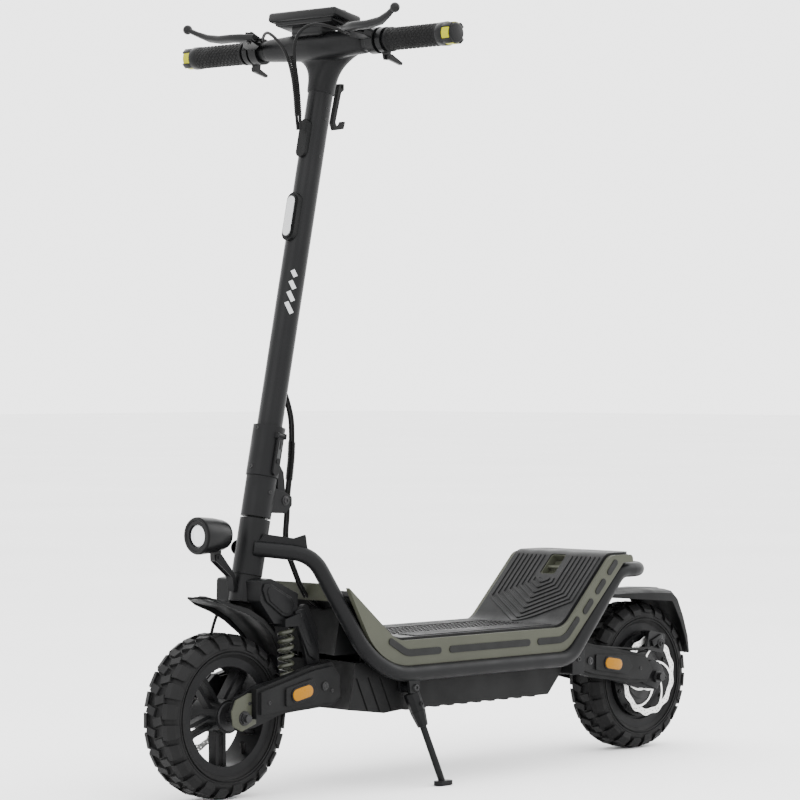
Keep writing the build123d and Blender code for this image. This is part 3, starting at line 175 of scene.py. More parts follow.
@dataclass(frozen=True)
class Finish:
    """One surface finish: its colour, its gloss, its relief and its wear."""

    name: str
    colour: Colour
    rough: float = 0.5
    metal: float = 0.0
    grain: Grain = Grain.FINE
    grain_scale: float = 900.0
    grain_depth: float = 0.00006
    mottle: float = 0.18
    wear: float = 0.35
    edge: float = 0.0010
    coat: float = 0.0
    gloss: float = 0.10

    def build(self) -> bpy.types.Material:
        """Makes the material, or returns the one already made.

        Returns:
            The finished material.
        """
        if self.name in bpy.data.materials:
            return bpy.data.materials[self.name]
        material = bpy.data.materials.new(self.name)
        bench = NodeBench(material)
        shader = bench.shader.inputs
        shader["Metallic"].default_value = self.metal
        shader["Specular IOR Level"].default_value = self.gloss
        shader["Coat Weight"].default_value = self.coat
        shader["Coat Roughness"].default_value = 0.12
        dark = tuple(channel * (1 - self.mottle) for channel in self.colour)
        light = tuple(min(1.0, channel * (1 + self.mottle)) for channel in self.colour)
        cloud = bench.spread(bench.noise(14.0, 4.0), 0.35, 0.65, (0.0, 1.0))
        speck = bench.spread(bench.noise(self.grain_scale * 0.4, 2.0), 0.3, 0.7, (0.0, 1.0))
        tone = bench.maths("MULTIPLY_ADD", cloud, 0.6)
        bench.join(bench.maths("MULTIPLY", speck, 0.4), tone.node.inputs[2])
        colour = bench.blend(tone, dark, light)
        rounding = bench.tree.nodes.new("ShaderNodeBevel")
        rounding.samples = 4
        rounding.inputs["Radius"].default_value = self.edge
        flat = bench.tree.nodes.new("ShaderNodeNewGeometry").outputs["Normal"]
        agree = bench.tree.nodes.new("ShaderNodeVectorMath")
        agree.operation = "DOT_PRODUCT"
        bench.join(rounding.outputs["Normal"], agree.inputs[0])
        bench.join(flat, agree.inputs[1])
        edge = bench.spread(agree.outputs["Value"], 0.75, 0.98, (self.wear, 0.0))
        patchy = bench.maths("MULTIPLY", edge, bench.spread(bench.noise(120.0, 5.0), 0.4, 0.62, (0.0, 1.0)))
        rubbed = tuple(min(1.0, channel * 1.6 + 0.012) for channel in self.colour)
        worn = bench.blend(patchy, (0.0, 0.0, 0.0), rubbed)
        bench.join(colour, worn.node.inputs[6])
        bench.join(worn, shader["Base Color"])
        smudge = bench.noise(26.0, 5.0)
        bench.join(bench.spread(smudge, 0.3, 0.7, (self.rough * 0.82, min(1.0, self.rough * 1.18))),
                   shader["Roughness"])
        bump = bench.tree.nodes.new("ShaderNodeBump")
        bump.inputs["Distance"].default_value = self.grain_depth
        bench.join(self.relief(bench), bump.inputs["Height"])
        bench.join(rounding.outputs["Normal"], bump.inputs["Normal"])
        bench.join(bump.outputs["Normal"], shader["Normal"])
        return material

    def relief(self, bench: NodeBench) -> bpy.types.NodeSocket:
        """The height field of the finish's fine relief.

        Args:
            bench: the material's bench.

        Returns:
            The height value.
        """
        if self.grain is Grain.BRUSHED:
            return bench.noise(self.grain_scale, 2.0, (1.0, 0.04, 1.0))
        if self.grain is Grain.RIBBED:
            wave = bench.maths("SINE", bench.maths("MULTIPLY", bench.axes()["Z"], self.grain_scale), 0.0)
            return bench.spread(wave, -1.0, 1.0, (0.0, 1.0))
        if self.grain is Grain.PRISM:
            cell = bench.tree.nodes.new("ShaderNodeTexVoronoi")
            cell.inputs["Scale"].default_value = self.grain_scale
            bench.join(bench.place, cell.inputs["Vector"])
            return cell.outputs["Distance"]
        return bench.noise(self.grain_scale, 3.0)


class Paint:
    """Every finish that the scooter wears."""

    CHARCOAL = Finish("charcoal_paint", (0.0034, 0.0035, 0.0038), 0.44, grain_scale=1500, grain_depth=0.00004)
    STEM = Finish("stem_paint", (0.0034, 0.0035, 0.0038), 0.38, grain_scale=1800, grain_depth=0.00003,
                  wear=0.15, gloss=0.11)
    OLIVE = Finish("olive_paint", (0.036, 0.0375, 0.0275), 0.45, grain_scale=1300, mottle=0.1, wear=0.2,
                   gloss=0.12)
    OLIVE_DARK = Finish("olive_spring_paint", (0.022, 0.0235, 0.0165), 0.33, mottle=0.12, gloss=0.3)
    PLASTIC = Finish("textured_plastic", (0.0030, 0.0031, 0.0032), 0.52, grain_scale=2200,
                     grain_depth=0.00009, wear=0.15)
    GLOSS_PLASTIC = Finish("satin_plastic", (0.0026, 0.0027, 0.0029), 0.32, grain_depth=0.00002, wear=0.12,
                           gloss=0.12)
    INLAY = Finish("inlay_rubber", (0.0060, 0.0062, 0.0060), 0.62, grain_scale=1600, grain_depth=0.0001,
                   gloss=0.14)
    MAT = Finish("deck_mat_rubber", (0.0042, 0.0043, 0.0044), 0.48, grain_scale=1300, grain_depth=0.0001,
                 wear=0.35, gloss=0.14)
    RUBBER = Finish("grip_rubber", (0.0032, 0.0032, 0.0033), 0.58, grain_scale=2600, grain_depth=0.0001,
                    gloss=0.10)
    TYRE = Finish("tyre_rubber", (0.0034, 0.0034, 0.0035), 0.60, grain_scale=1500, grain_depth=0.00016,
                  wear=0.4, gloss=0.12)
    CABLE = Finish("cable_sheath", (0.0028, 0.0028, 0.0029), 0.42, grain_scale=1700, grain_depth=0.00003)
    ALLOY = Finish("black_alloy", (0.0045, 0.0046, 0.0049), 0.34, metal=0.1, grain_depth=0.00002, gloss=0.14)
    STEEL = Finish("brushed_steel", (0.60, 0.60, 0.59), 0.34, metal=1.0, grain=Grain.BRUSHED,
                   grain_scale=1400, wear=0.1)
    GREY = Finish("grey_pad", (0.032, 0.0325, 0.033), 0.5, grain_scale=1500, wear=0.3)
    BOLT = Finish("blackened_bolts", (0.0060, 0.0060, 0.0064), 0.36, grain_depth=0.00003, wear=0.5, gloss=0.2)
    AMBER = Finish("amber_reflector", (0.21, 0.088, 0.0), 0.30, grain=Grain.PRISM, grain_scale=420,
                   grain_depth=0.0003, mottle=0.05, wear=0.0, gloss=0.12)
    WHITE = Finish("white_reflector", (0.36, 0.365, 0.37), 0.25, grain=Grain.RIBBED, grain_scale=2600,
                   grain_depth=0.0004, mottle=0.04, wear=0.0, coat=0.4)
    LENS = Finish("lamp_lens", (0.55, 0.56, 0.57), 0.14, grain=Grain.PRISM, grain_scale=260,
                  grain_depth=0.0003, mottle=0.03, wear=0.0, coat=0.6)
    YELLOW = Finish("yellow_window", (0.24, 0.235, 0.0), 0.30, grain=Grain.PRISM, grain_scale=300,
                    grain_depth=0.0002, mottle=0.04, wear=0.0, gloss=0.12)
    SCREEN = Finish("dark_screen", (0.0020, 0.0020, 0.0024), 0.12, grain_depth=0.000005, mottle=0.3, wear=0.0,
                    coat=0.3)
    MARK = Finish("pale_mark", (0.34, 0.345, 0.35), 0.45, mottle=0.05, wear=0.1)


NODE_FINISH: dict[Finish, tuple[str, ...]] = {
    Paint.CHARCOAL: ("main_frame", "steering_crown", "front_yoke", "lower_stem", "headlight_bracket",
                     "fold_collar", "front_swingarm", "rear_swingarm", "kickstand", "hub_motor", "front_rim",
                     "bar_shell", "deck_plate"),
    Paint.STEM: ("stem_tube", "handlebar"),
    Paint.OLIVE: ("side_panels", "catch_pocket"),
    Paint.PLASTIC: ("battery_case", "front_cover", "front_fender", "rear_fender", "front_arm_covers",
                    "rear_arm_covers", "battery_pack", "stem_fittings", "bag_hook"),
    Paint.GLOSS_PLASTIC: ("brake_perches", "throttle_lever", "signal_lever", "display_pod", "display_button",
                          "headlight_housing", "grip_end_caps", "fold_latch"),
    Paint.INLAY: ("side_inlays",),
    Paint.MAT: ("deck_mat",),
    Paint.CABLE: ("front_brake_cable", "stem_cables", "body_cables"),
    Paint.ALLOY: ("brake_lever_left", "brake_lever_right", "front_caliper", "rear_caliper"),
    Paint.STEEL: ("rear_rotor",),
    Paint.BOLT: ("frame_bearings", "fork_pins", "front_axle", "rear_axle", "front_bearings", "rear_bearings",
                 "front_rotor"),
    Paint.AMBER: ("front_reflectors", "rear_reflectors"),
    Paint.LENS: ("headlight_lens",),
    Paint.SCREEN: ("display_screen",),
    Paint.RUBBER: ("grips",),
    Paint.TYRE: ("front_tyre", "rear_tyre"),
    Paint.OLIVE_DARK: ("front_springs", "rear_springs"),
}


# ---------------------------------------------------------------------------- shared making
@dataclass
class Workshop:
    """Turns finished bmeshes and curves into pieces that ride on the frame."""

    made: list[str] = field(default_factory=list)

    def keep(self, name: str, work: bmesh.types.BMesh, body: str, finish: Finish,
             crease: float = 35.0) -> bpy.types.Object:
        """Makes a piece from a bmesh.

        Args:
            name: the piece's name.
            work: its finished mesh, already in place.
            body: the frame body that carries it.
            finish: its finish.
            crease: edges sharper than this stay sharp, in degrees.

        Returns:
            The new object.
        """
        bmesh.ops.recalc_face_normals(work, faces=work.faces)
        mesh = bpy.data.meshes.new(name)
        work.to_mesh(mesh)
        work.free()
        mesh.polygons.foreach_set("use_smooth", [True] * len(mesh.polygons))
        mesh.set_sharp_from_angle(angle=radians(crease))
        mesh.materials.append(finish.build())
        piece = bpy.data.objects.new(name, mesh)
        bpy.context.scene.collection.objects.link(piece)
        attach(piece, body)
        self.made.append(name)
        LOG.info("%s: %d faces on %s", name, len(mesh.polygons), body)
        return piece

    def tube(self, name: str, routes: list[list[Point]], radius: float, finish: Finish, body: str | None,
             steps: int = 12) -> bpy.types.Object:
        """Makes a smooth round cable, wire or coil along each route.

        Args:
            name: the piece's name.
            routes: control points of each run, in metres.
            radius: the tube's radius.
            finish: its finish.
            body: the body it rides on, or None to leave it on no body.
            steps: smoothness along the curve.

        Returns:
            The new mesh object.
        """
        curve = bpy.data.curves.new(name, "CURVE")
        curve.dimensions = "3D"
        curve.bevel_depth = radius
        curve.bevel_resolution = 4
        curve.use_fill_caps = True
        curve.resolution_u = steps
        for route in routes:
            spline = curve.splines.new("NURBS")
            spline.points.add(len(route) - 1)
            for point, place in zip(spline.points, route):
                point.co = (*place, 1.0)
            spline.order_u = 3
            spline.use_endpoint_u = True
        holder = bpy.data.objects.new(name + "_line", curve)
        mesh = bpy.data.meshes.new_from_object(holder)
        mesh.name = name
        bpy.data.objects.remove(holder)
        mesh.polygons.foreach_set("use_smooth", [True] * len(mesh.polygons))
        mesh.materials.clear()
        mesh.materials.append(finish.build())
        piece = bpy.data.objects.new(name, mesh)
        bpy.context.scene.collection.objects.link(piece)
        if body is not None:
            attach(piece, body)
        self.made.append(name)
        LOG.info("%s: %d faces", name, len(mesh.polygons))
        return piece


def upright(axis: Vector, place: Vector) -> Matrix:
    """A placing that turns +Z onto an axis and moves the origin to a point."""
    return Matrix.Translation(place) @ axis.to_track_quat("Z", "Y").to_matrix().to_4x4()


def edges_of(verts: list[bmesh.types.BMVert]) -> list[bmesh.types.BMEdge]:
    """Each edge at some vertices once, always in the same order."""
    return list(dict.fromkeys(edge for vert in verts for edge in vert.link_edges))


def add_drum(work: bmesh.types.BMesh, place: Matrix, radius: float, depth: float, sides: int = 32,
             top: float | None = None, bevel: float = 0.0) -> list[bmesh.types.BMVert]:
    """Adds a drum that stands on a placing's origin and rises along its Z.

    Args:
        work: the mesh to add to.
        place: where the drum stands.
        radius: its lower radius.
        depth: its height.
        sides: the number of sides.
        top: its upper radius, when it tapers.
        bevel: how far its rims are rounded.

    Returns:
        The drum's vertices.
    """
    lift = place @ Matrix.Translation((0, 0, depth / 2))
    made = bmesh.ops.create_cone(work, cap_ends=True, segments=sides, radius1=radius, radius2=top or radius,
                                 depth=depth, matrix=lift)["verts"]
    if bevel > 0:
        rims = [edge for edge in edges_of(made)
                if any(len(face.verts) > 4 for face in edge.link_faces)]
        bmesh.ops.bevel(work, geom=rims, offset=bevel, segments=2, profile=0.5, affect="EDGES", material=-1)
    return made


def add_block(work: bmesh.types.BMesh, place: Matrix, size: Point, bevel: float = 0.0,
              segments: int = 2) -> None:
    """Adds a block centred on a placing, its edges rounded when a bevel is given."""
    scaled = place @ Matrix.Diagonal((*size, 1.0))
    made = bmesh.ops.create_cube(work, size=1.0, matrix=scaled)["verts"]
    if bevel > 0:
        edges = edges_of(made)
        bmesh.ops.bevel(work, geom=edges, offset=bevel, segments=segments, profile=0.5, affect="EDGES",
                        material=-1)


def add_prism(work: bmesh.types.BMesh, corners: list[Point], rise: Vector, bevel: float = 0.0,
              segments: int = 2) -> None:
    """Adds a straight prism on a flat outline, its edges rounded when a bevel is given.

    Args:
        work: the mesh to add to.
        corners: the outline, in order.
        rise: the way and distance the outline is drawn out.
        bevel: how far the edges are rounded.
        segments: how many steps the rounding takes.
    """
    base = work.faces.new([work.verts.new(corner) for corner in corners])
    drawn = bmesh.ops.extrude_face_region(work, geom=[base])["geom"]
    verts = [item for item in drawn if isinstance(item, bmesh.types.BMVert)]
    bmesh.ops.translate(work, verts=verts, vec=rise)
    if bevel > 0:
        edges = edges_of([*verts, *base.verts])
        bmesh.ops.bevel(work, geom=edges, offset=bevel, segments=segments, profile=0.5, affect="EDGES",
                        material=-1)


def add_bolt(work: bmesh.types.BMesh, place: Vector, axis: Vector, radius: float = 0.0045,
             height: float = 0.003) -> None:
    """Adds a button-head bolt with a six-sided socket, seated on a face.

    Args:
        work: the mesh to add to.
        place: the middle of its seat.
        axis: the way its head faces.
        radius: its head's radius.
        height: its head's height.
    """
    stand = upright(axis, place)
    head = bmesh.ops.create_cone(work, cap_ends=True, segments=24, radius1=radius, radius2=radius * 0.82,
                                 depth=height, matrix=stand @ Matrix.Translation((0, 0, height / 2)))["verts"]
    top = max({face for vert in head for face in vert.link_faces},
              key=lambda face: (face.calc_center_median() - place).dot(axis))
    bmesh.ops.inset_individual(work, faces=[top], thickness=radius * 0.36, depth=0.0)
    bmesh.ops.inset_individual(work, faces=[top], thickness=radius * 0.02, depth=-height * 0.6)


def spin_profile(work: bmesh.types.BMesh, profile: list[tuple[float, float]], centre: Vector, axis: Vector,
                 out: Vector, steps: int) -> None:
    """Turns a closed profile fully round an axis.

    Args:
        work: the mesh to add to.
        profile: points as distance along the axis and radius.
        centre: a point on the axis.
        axis: the axis.
        out: a direction square to the axis.
        steps: how many steps the turn takes.
    """
    verts = [work.verts.new(centre + axis * along + out * radius) for along, radius in profile]
    edges = [work.edges.new((verts[i], verts[(i + 1) % len(verts)])) for i in range(len(verts))]
    bmesh.ops.spin(work, geom=[*verts, *edges], cent=centre, axis=axis, dvec=(0, 0, 0), angle=tau,
                   steps=steps, use_merge=True, use_duplicate=False)
    bmesh.ops.remove_doubles(work, verts=work.verts, dist=SEAM)


# ---------------------------------------------------------------------------- wheels
@dataclass
class Tyre:
    """A chunky off-road tyre: a crowned body with rows of blocks over its tread and shoulders."""

    name: str
    body: str
    node: str
    centre: Vector
    radius: float = 0.1278
    base_radius: float = 0.1228
    half_width: float = 0.035
    bead: float = 0.088
    rows: int = 24
    block_along: float = 0.0082
    block_width: float = 0.0165
    block_length: float = 0.0215
    block_slant: float = 0.30
    shoulder_half: float = 0.0120

    def build(self, shop: Workshop) -> None:
        """Makes the tyre and hides the plain one."""
        work = bmesh.new()
        side = self.half_width - 0.0018
        base = self.base_radius
        outer = [(-0.024, self.bead), (-side + 0.003, self.bead + 0.006), (-side, self.bead + 0.016),
                 (-side, base - 0.015), (-side + 0.005, base - 0.006), (-0.020, base - 0.001), (0.0, base)]
        profile = [*outer, *[(-along, radius) for along, radius in outer[-2::-1]]]
        inner = [(0.017, self.bead), (0.026, self.bead + 0.014), (0.024, base - 0.014),
                 (-0.024, base - 0.014), (-0.026, self.bead + 0.014), (-0.017, self.bead)]
        spin_profile(work, [*profile, *inner], self.centre, LEFTWARD, UPWARD, 96)
        pitch = tau / self.rows
        for row in range(self.rows):
            turn = row * pitch
            self.block(work, turn, 1)
            self.block(work, turn + pitch / 2, -1)
            long = row % 2 == 0
            for way in (-1, 1):
                self.shoulder(work, turn + (pitch / 2 if way > 0 else 0.0), way, long)
        for radius in (self.bead + 0.010, self.bead + 0.0145):
            for way in (-1, 1):
                ring = [(way * (side + 0.0009), radius - 0.0009), (way * (side + 0.0009), radius + 0.0009),
                        (way * (side - 0.001), radius + 0.0012), (way * (side - 0.001), radius - 0.0012)]
                spin_profile(work, ring, self.centre, LEFTWARD, UPWARD, 72)
        piece = shop.keep(self.name, work, self.body, Paint.TYRE, 30.0)
        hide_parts(self.node)

    def place(self, turn: float, along: float, radius: float) -> Vector:
        """A point on the tyre at a turn, a distance along the axle and a radius."""
        return self.centre + Vector((sin(turn) * radius, along, cos(turn) * radius))

    def block(self, work: bmesh.types.BMesh, turn: float, way: int) -> None:
        """Adds one slanted block of the tread's two middle rows."""
        out = Vector((sin(turn), 0, cos(turn)))
        root = self.place(turn, way * self.block_along, self.base_radius - 0.002)
        stand = upright(out, root) @ Matrix.Rotation(way * self.block_slant, 4, "Z")
        high = self.radius - self.base_radius + 0.002 - self.block_along * 0.04
        size = Matrix.Diagonal((self.block_length, self.block_width * 0.86, high, 1.0))
        made = bmesh.ops.create_cube(work, size=1.0,
                                     matrix=stand @ Matrix.Translation((0, 0, high / 2)) @ size)["verts"]
        crown = [vert for vert in made if (vert.co - self.centre).dot(out) > self.base_radius + 0.001]
        middle = sum((vert.co for vert in crown), Vector()) / len(crown)
        for vert in crown:
            vert.co = middle + (vert.co - middle) * 0.86

    def shoulder(self, work: bmesh.types.BMesh, turn: float, way: int, long: bool) -> None:
        """Adds one block that wraps from the tread's edge down over the shoulder."""
        half = self.shoulder_half / self.radius
        reach = 0.0095 if long else 0.0045
        edge = self.half_width
        ring = [(0.0175, self.radius - 0.0008), (0.0262, self.radius - 0.0030),
                (edge - 0.0006, self.radius - 0.0125), (edge, self.radius - 0.0125 - reach),
                (edge - 0.0032, self.radius - 0.0130 - reach), (edge - 0.0050, self.radius - 0.0150),
                (0.0240, self.base_radius - 0.004), (0.0175, self.base_radius - 0.003)]
        near, far = [[work.verts.new(self.place(turn + end * half * (1.0 if i < 3 else 0.8), way * along,
                                                radius))
                      for i, (along, radius) in enumerate(ring)] for end in (-1, 1)]
        count = len(ring)
        work.faces.new(near)
        work.faces.new(far[::-1])
        for i in range(count):
            work.faces.new((near[i], near[(i + 1) % count], far[(i + 1) % count], far[i]))


@dataclass
class Coils:
    """A pair of coil springs, each between a fixed seat and a seat on a swing arm."""

    name: str
    node: str
    body: str
    joint: str
    axis: Point
    keep: float
    x: float
    y: float
    radius: float
    wire: float
    turns: float

    def build(self, shop: Workshop) -> None:
        """Makes both coils."""
        low, high = (round(corner[2], 4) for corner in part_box(self.node))
        routes = []
        for side in (-1, 1):
            count = int(self.turns * 12)
            points = []
            for step in range(count + 1):
                share = step / count
                turn = share * self.turns * tau
                height = low + self.wire + (high - low - 2 * self.wire) * share
                points.append((self.x + self.radius * cos(turn), side * self.y + self.radius * sin(turn),
                               height))
            routes.append(points)
        piece = shop.tube(self.name, routes, self.wire, Paint.OLIVE_DARK, self.body, 3)
        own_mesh(piece)
        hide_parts(self.node)


@dataclass
class WheelTrim:
    """Small parts on the wheels: hub bolts, rotor bolts, valves and axle caps."""

    front: Vector
    rear: Vector
    hub_face: float = 0.032
    hub_bolt_reach: float = 0.064
    disc_face: float = 0.048
    disc_bolt_radius: float = 0.0034
    valve_reach: float = 0.079

    def build(self, shop: Workshop) -> None:
        """Makes the bolts, the hub rings and the valves."""
        work = bmesh.new()
        for index in range(12):
            turn = index * tau / 12 + 0.13
            for way in (-1, 1):
                self.bolt(work, self.rear, turn, self.hub_bolt_reach, way * self.hub_face, 0.0038)
        self.disc_bolts(work, self.rear, 0.0225, self.disc_face)
        for reach in (0.050, 0.042):
            place = upright(LEFTWARD, self.rear + Vector((0, 0.031, 0)))
            add_drum(work, place, reach, 0.0016 + (0.05 - reach) * 0.2, 48, reach - 0.001)
        shop.keep("rear_hub_bolts", work, "rear_wheel", Paint.BOLT)
        work = bmesh.new()
        self.disc_bolts(work, self.front, 0.020, -self.disc_face)
        add_drum(work, upright(LEFTWARD, self.front + Vector((0, 0.0285, 0))), 0.024, 0.004, 40, 0.022)
        shop.keep("front_hub_trim", work, "front_wheel", Paint.BOLT)
        self.valve(shop, "front_valve", self.front, "front_wheel", -2.25)
        self.valve(shop, "rear_valve", self.rear, "rear_wheel", 1.2)

    def bolt(self, work: bmesh.types.BMesh, centre: Vector, turn: float, reach: float, along: float,
             radius: float) -> None:
        """Adds one bolt at a turn round an axle; it faces the way it lies along the axle."""
        place = centre + Vector((cos(turn) * reach, along, sin(turn) * reach))
        add_bolt(work, place, Vector((0, 1 if along > 0 else -1, 0)), radius, 0.0022)

    def disc_bolts(self, work: bmesh.types.BMesh, centre: Vector, reach: float, along: float) -> None:
        """Adds the five bolts that hold a brake disc."""
        for index in range(5):
            self.bolt(work, centre, index * tau / 5 + 0.3, reach, along, self.disc_bolt_radius)

    def valve(self, shop: Workshop, name: str, centre: Vector, body: str, turn: float) -> None:
        """Makes a tyre valve that leans inwards from the rim, with its cap."""
        work = bmesh.new()
        lean = Vector((cos(turn), -0.55, sin(turn))).normalized()
        root = centre + Vector((cos(turn) * self.valve_reach, 0.010, sin(turn) * self.valve_reach))
        add_drum(work, upright(-lean, root), 0.0036, 0.020, 16, 0.0028)
        add_drum(work, upright(-lean, root - lean * 0.019), 0.0040, 0.008, 12, 0.0036)
        shop.keep(name, work, body, Paint.RUBBER)


# ---------------------------------------------------------------------------- bar and stem
@dataclass
class SteeringLine:
    """The tilted line that the stem stands on, and a frame along it."""

    tilt: float = radians(12.0)
    ground_x: float = 0.5015

    def at(self, forward: float, left: float, height: float) -> Vector:
        """A point forward and left of the line, at a height above the floor measured on it."""
        reach = height / cos(self.tilt)
        return Vector((self.ground_x + forward * cos(self.tilt) - reach * sin(self.tilt), left,
                       forward * sin(self.tilt) + reach * cos(self.tilt)))

    def up(self) -> Vector:
        """The way up the line."""
        return Vector((-sin(self.tilt), 0, cos(self.tilt)))

    def ahead(self) -> Vector:
        """The way forward, square to the line."""
        return Vector((cos(self.tilt), 0, sin(self.tilt)))


@dataclass
class Handlebar:
    """Knurled grips, castellated caps with yellow windows, and clamp bolts."""

    x: float
    z: float
    grip_radius: float = 0.018
    grip_inner: float = 0.162
    grip_outer: float = 0.271
    groove_depth: float = 0.0008
    groove_pitch: float = 0.0085
    grooves_round: int = 12

    def build(self, shop: Workshop) -> None:
        """Makes everything on the bar."""
        self.grips(shop)
        self.caps(shop)
        self.bolts(shop)

    def grips(self, shop: Workshop) -> None:
        """Makes both grips, with a diamond pattern cut into them and a plain flange."""
        work = bmesh.new()
        rings, sides = 110, 120
        for way in (-1, 1):
            length = self.grip_outer - self.grip_inner
            made = bmesh.ops.create_grid(work, x_segments=sides, y_segments=rings, size=0.5)["verts"]
            for vert in made:
                share = vert.co.y + 0.5
                turn = (vert.co.x + 0.5) * tau
                along = share * length
                round_part, along_part = turn * self.grooves_round / tau, along / self.groove_pitch
                crossings = [abs((total % 1.0) - 0.5) * 2
                             for total in (round_part + along_part, round_part - along_part)]
                cut = self.groove_depth if min(crossings) < 0.26 and 0.06 < share < 0.97 else 0.0
                radius = self.grip_radius - cut + (0.0012 if share < 0.04 else 0.0)
                vert.co = Vector((self.x + cos(turn) * radius, way * (self.grip_inner + along),
                                  self.z + sin(turn) * radius))
        bmesh.ops.remove_doubles(work, verts=work.verts, dist=SEAM)
        for way in (-1, 1):
            flange = upright(Vector((0, way, 0)), Vector((self.x, way * (self.grip_inner + 0.0001), self.z)))
            add_drum(work, flange, 0.0185, 0.003, 48, 0.0185, 0.0008)
        grips = shop.keep("knurled_grips", work, "stem", Paint.RUBBER, 20.0)
        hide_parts("grips")

    def caps(self, shop: Workshop) -> None:
        """Makes the end caps: a notched collar and a lit yellow window round each end."""
        dark = bmesh.new()
        lit = bmesh.new()
        for way in (-1, 1):
            axis = Vector((0, way, 0))
            root = Vector((self.x, way * self.grip_outer, self.z))
            add_drum(dark, upright(axis, root), 0.0184, 0.0145, 48, 0.0188, 0.0010)
            add_drum(dark, upright(axis, root + axis * 0.0292), 0.0168, 0.0034, 48, 0.0140, 0.0008)
            add_drum(lit, upright(axis, root + axis * 0.0140), 0.0176, 0.0150, 40, 0.0172)
            for index in range(4):
                turn = index * tau / 4 + pi / 4
                out = Vector((cos(turn), 0, sin(turn)))
                around = axis.cross(out)
                turned = Matrix((around, axis, out)).transposed().to_4x4()
                stand = Matrix.Translation(root + axis * 0.0222 + out * 0.0158) @ turned
                add_block(dark, stand, (0.0095, 0.0190, 0.0056), 0.0010, 2)
        caps = shop.keep("grip_caps", dark, "stem", Paint.GLOSS_PLASTIC)
        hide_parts("grip_end_caps")
        shop.keep("cap_windows", lit, "stem", Paint.YELLOW)

    def bolts(self, shop: Workshop) -> None:
        """Adds clamp bolts and lever pivots on both sides, and the screws on the shell."""
        work = bmesh.new()
        for way in (-1, 1):
            add_bolt(work, Vector((self.x - 0.0195, way * 0.1320, self.z + 0.006)),
                     Vector((-1, 0, 0.25)).normalized(), 0.0038)
            add_bolt(work, Vector((self.x + 0.0452, way * 0.112, self.z + 0.0107)),
                     Vector((0.394, 0, -0.919)), 0.0042, 0.002)
            add_bolt(work, Vector((self.x + 0.0387, way * 0.112, self.z + 0.0254)),
                     Vector((-0.394, 0, 0.919)), 0.0042, 0.002)
        for left in (-0.030, 0.030):
            add_bolt(work, Vector((self.x + 0.0200, left, self.z - 0.004)),
                     Vector((0.97, 0, -0.2)).normalized(), 0.0036, 0.0018)
        shop.keep("bar_bolts", work, "stem", Paint.BOLT)


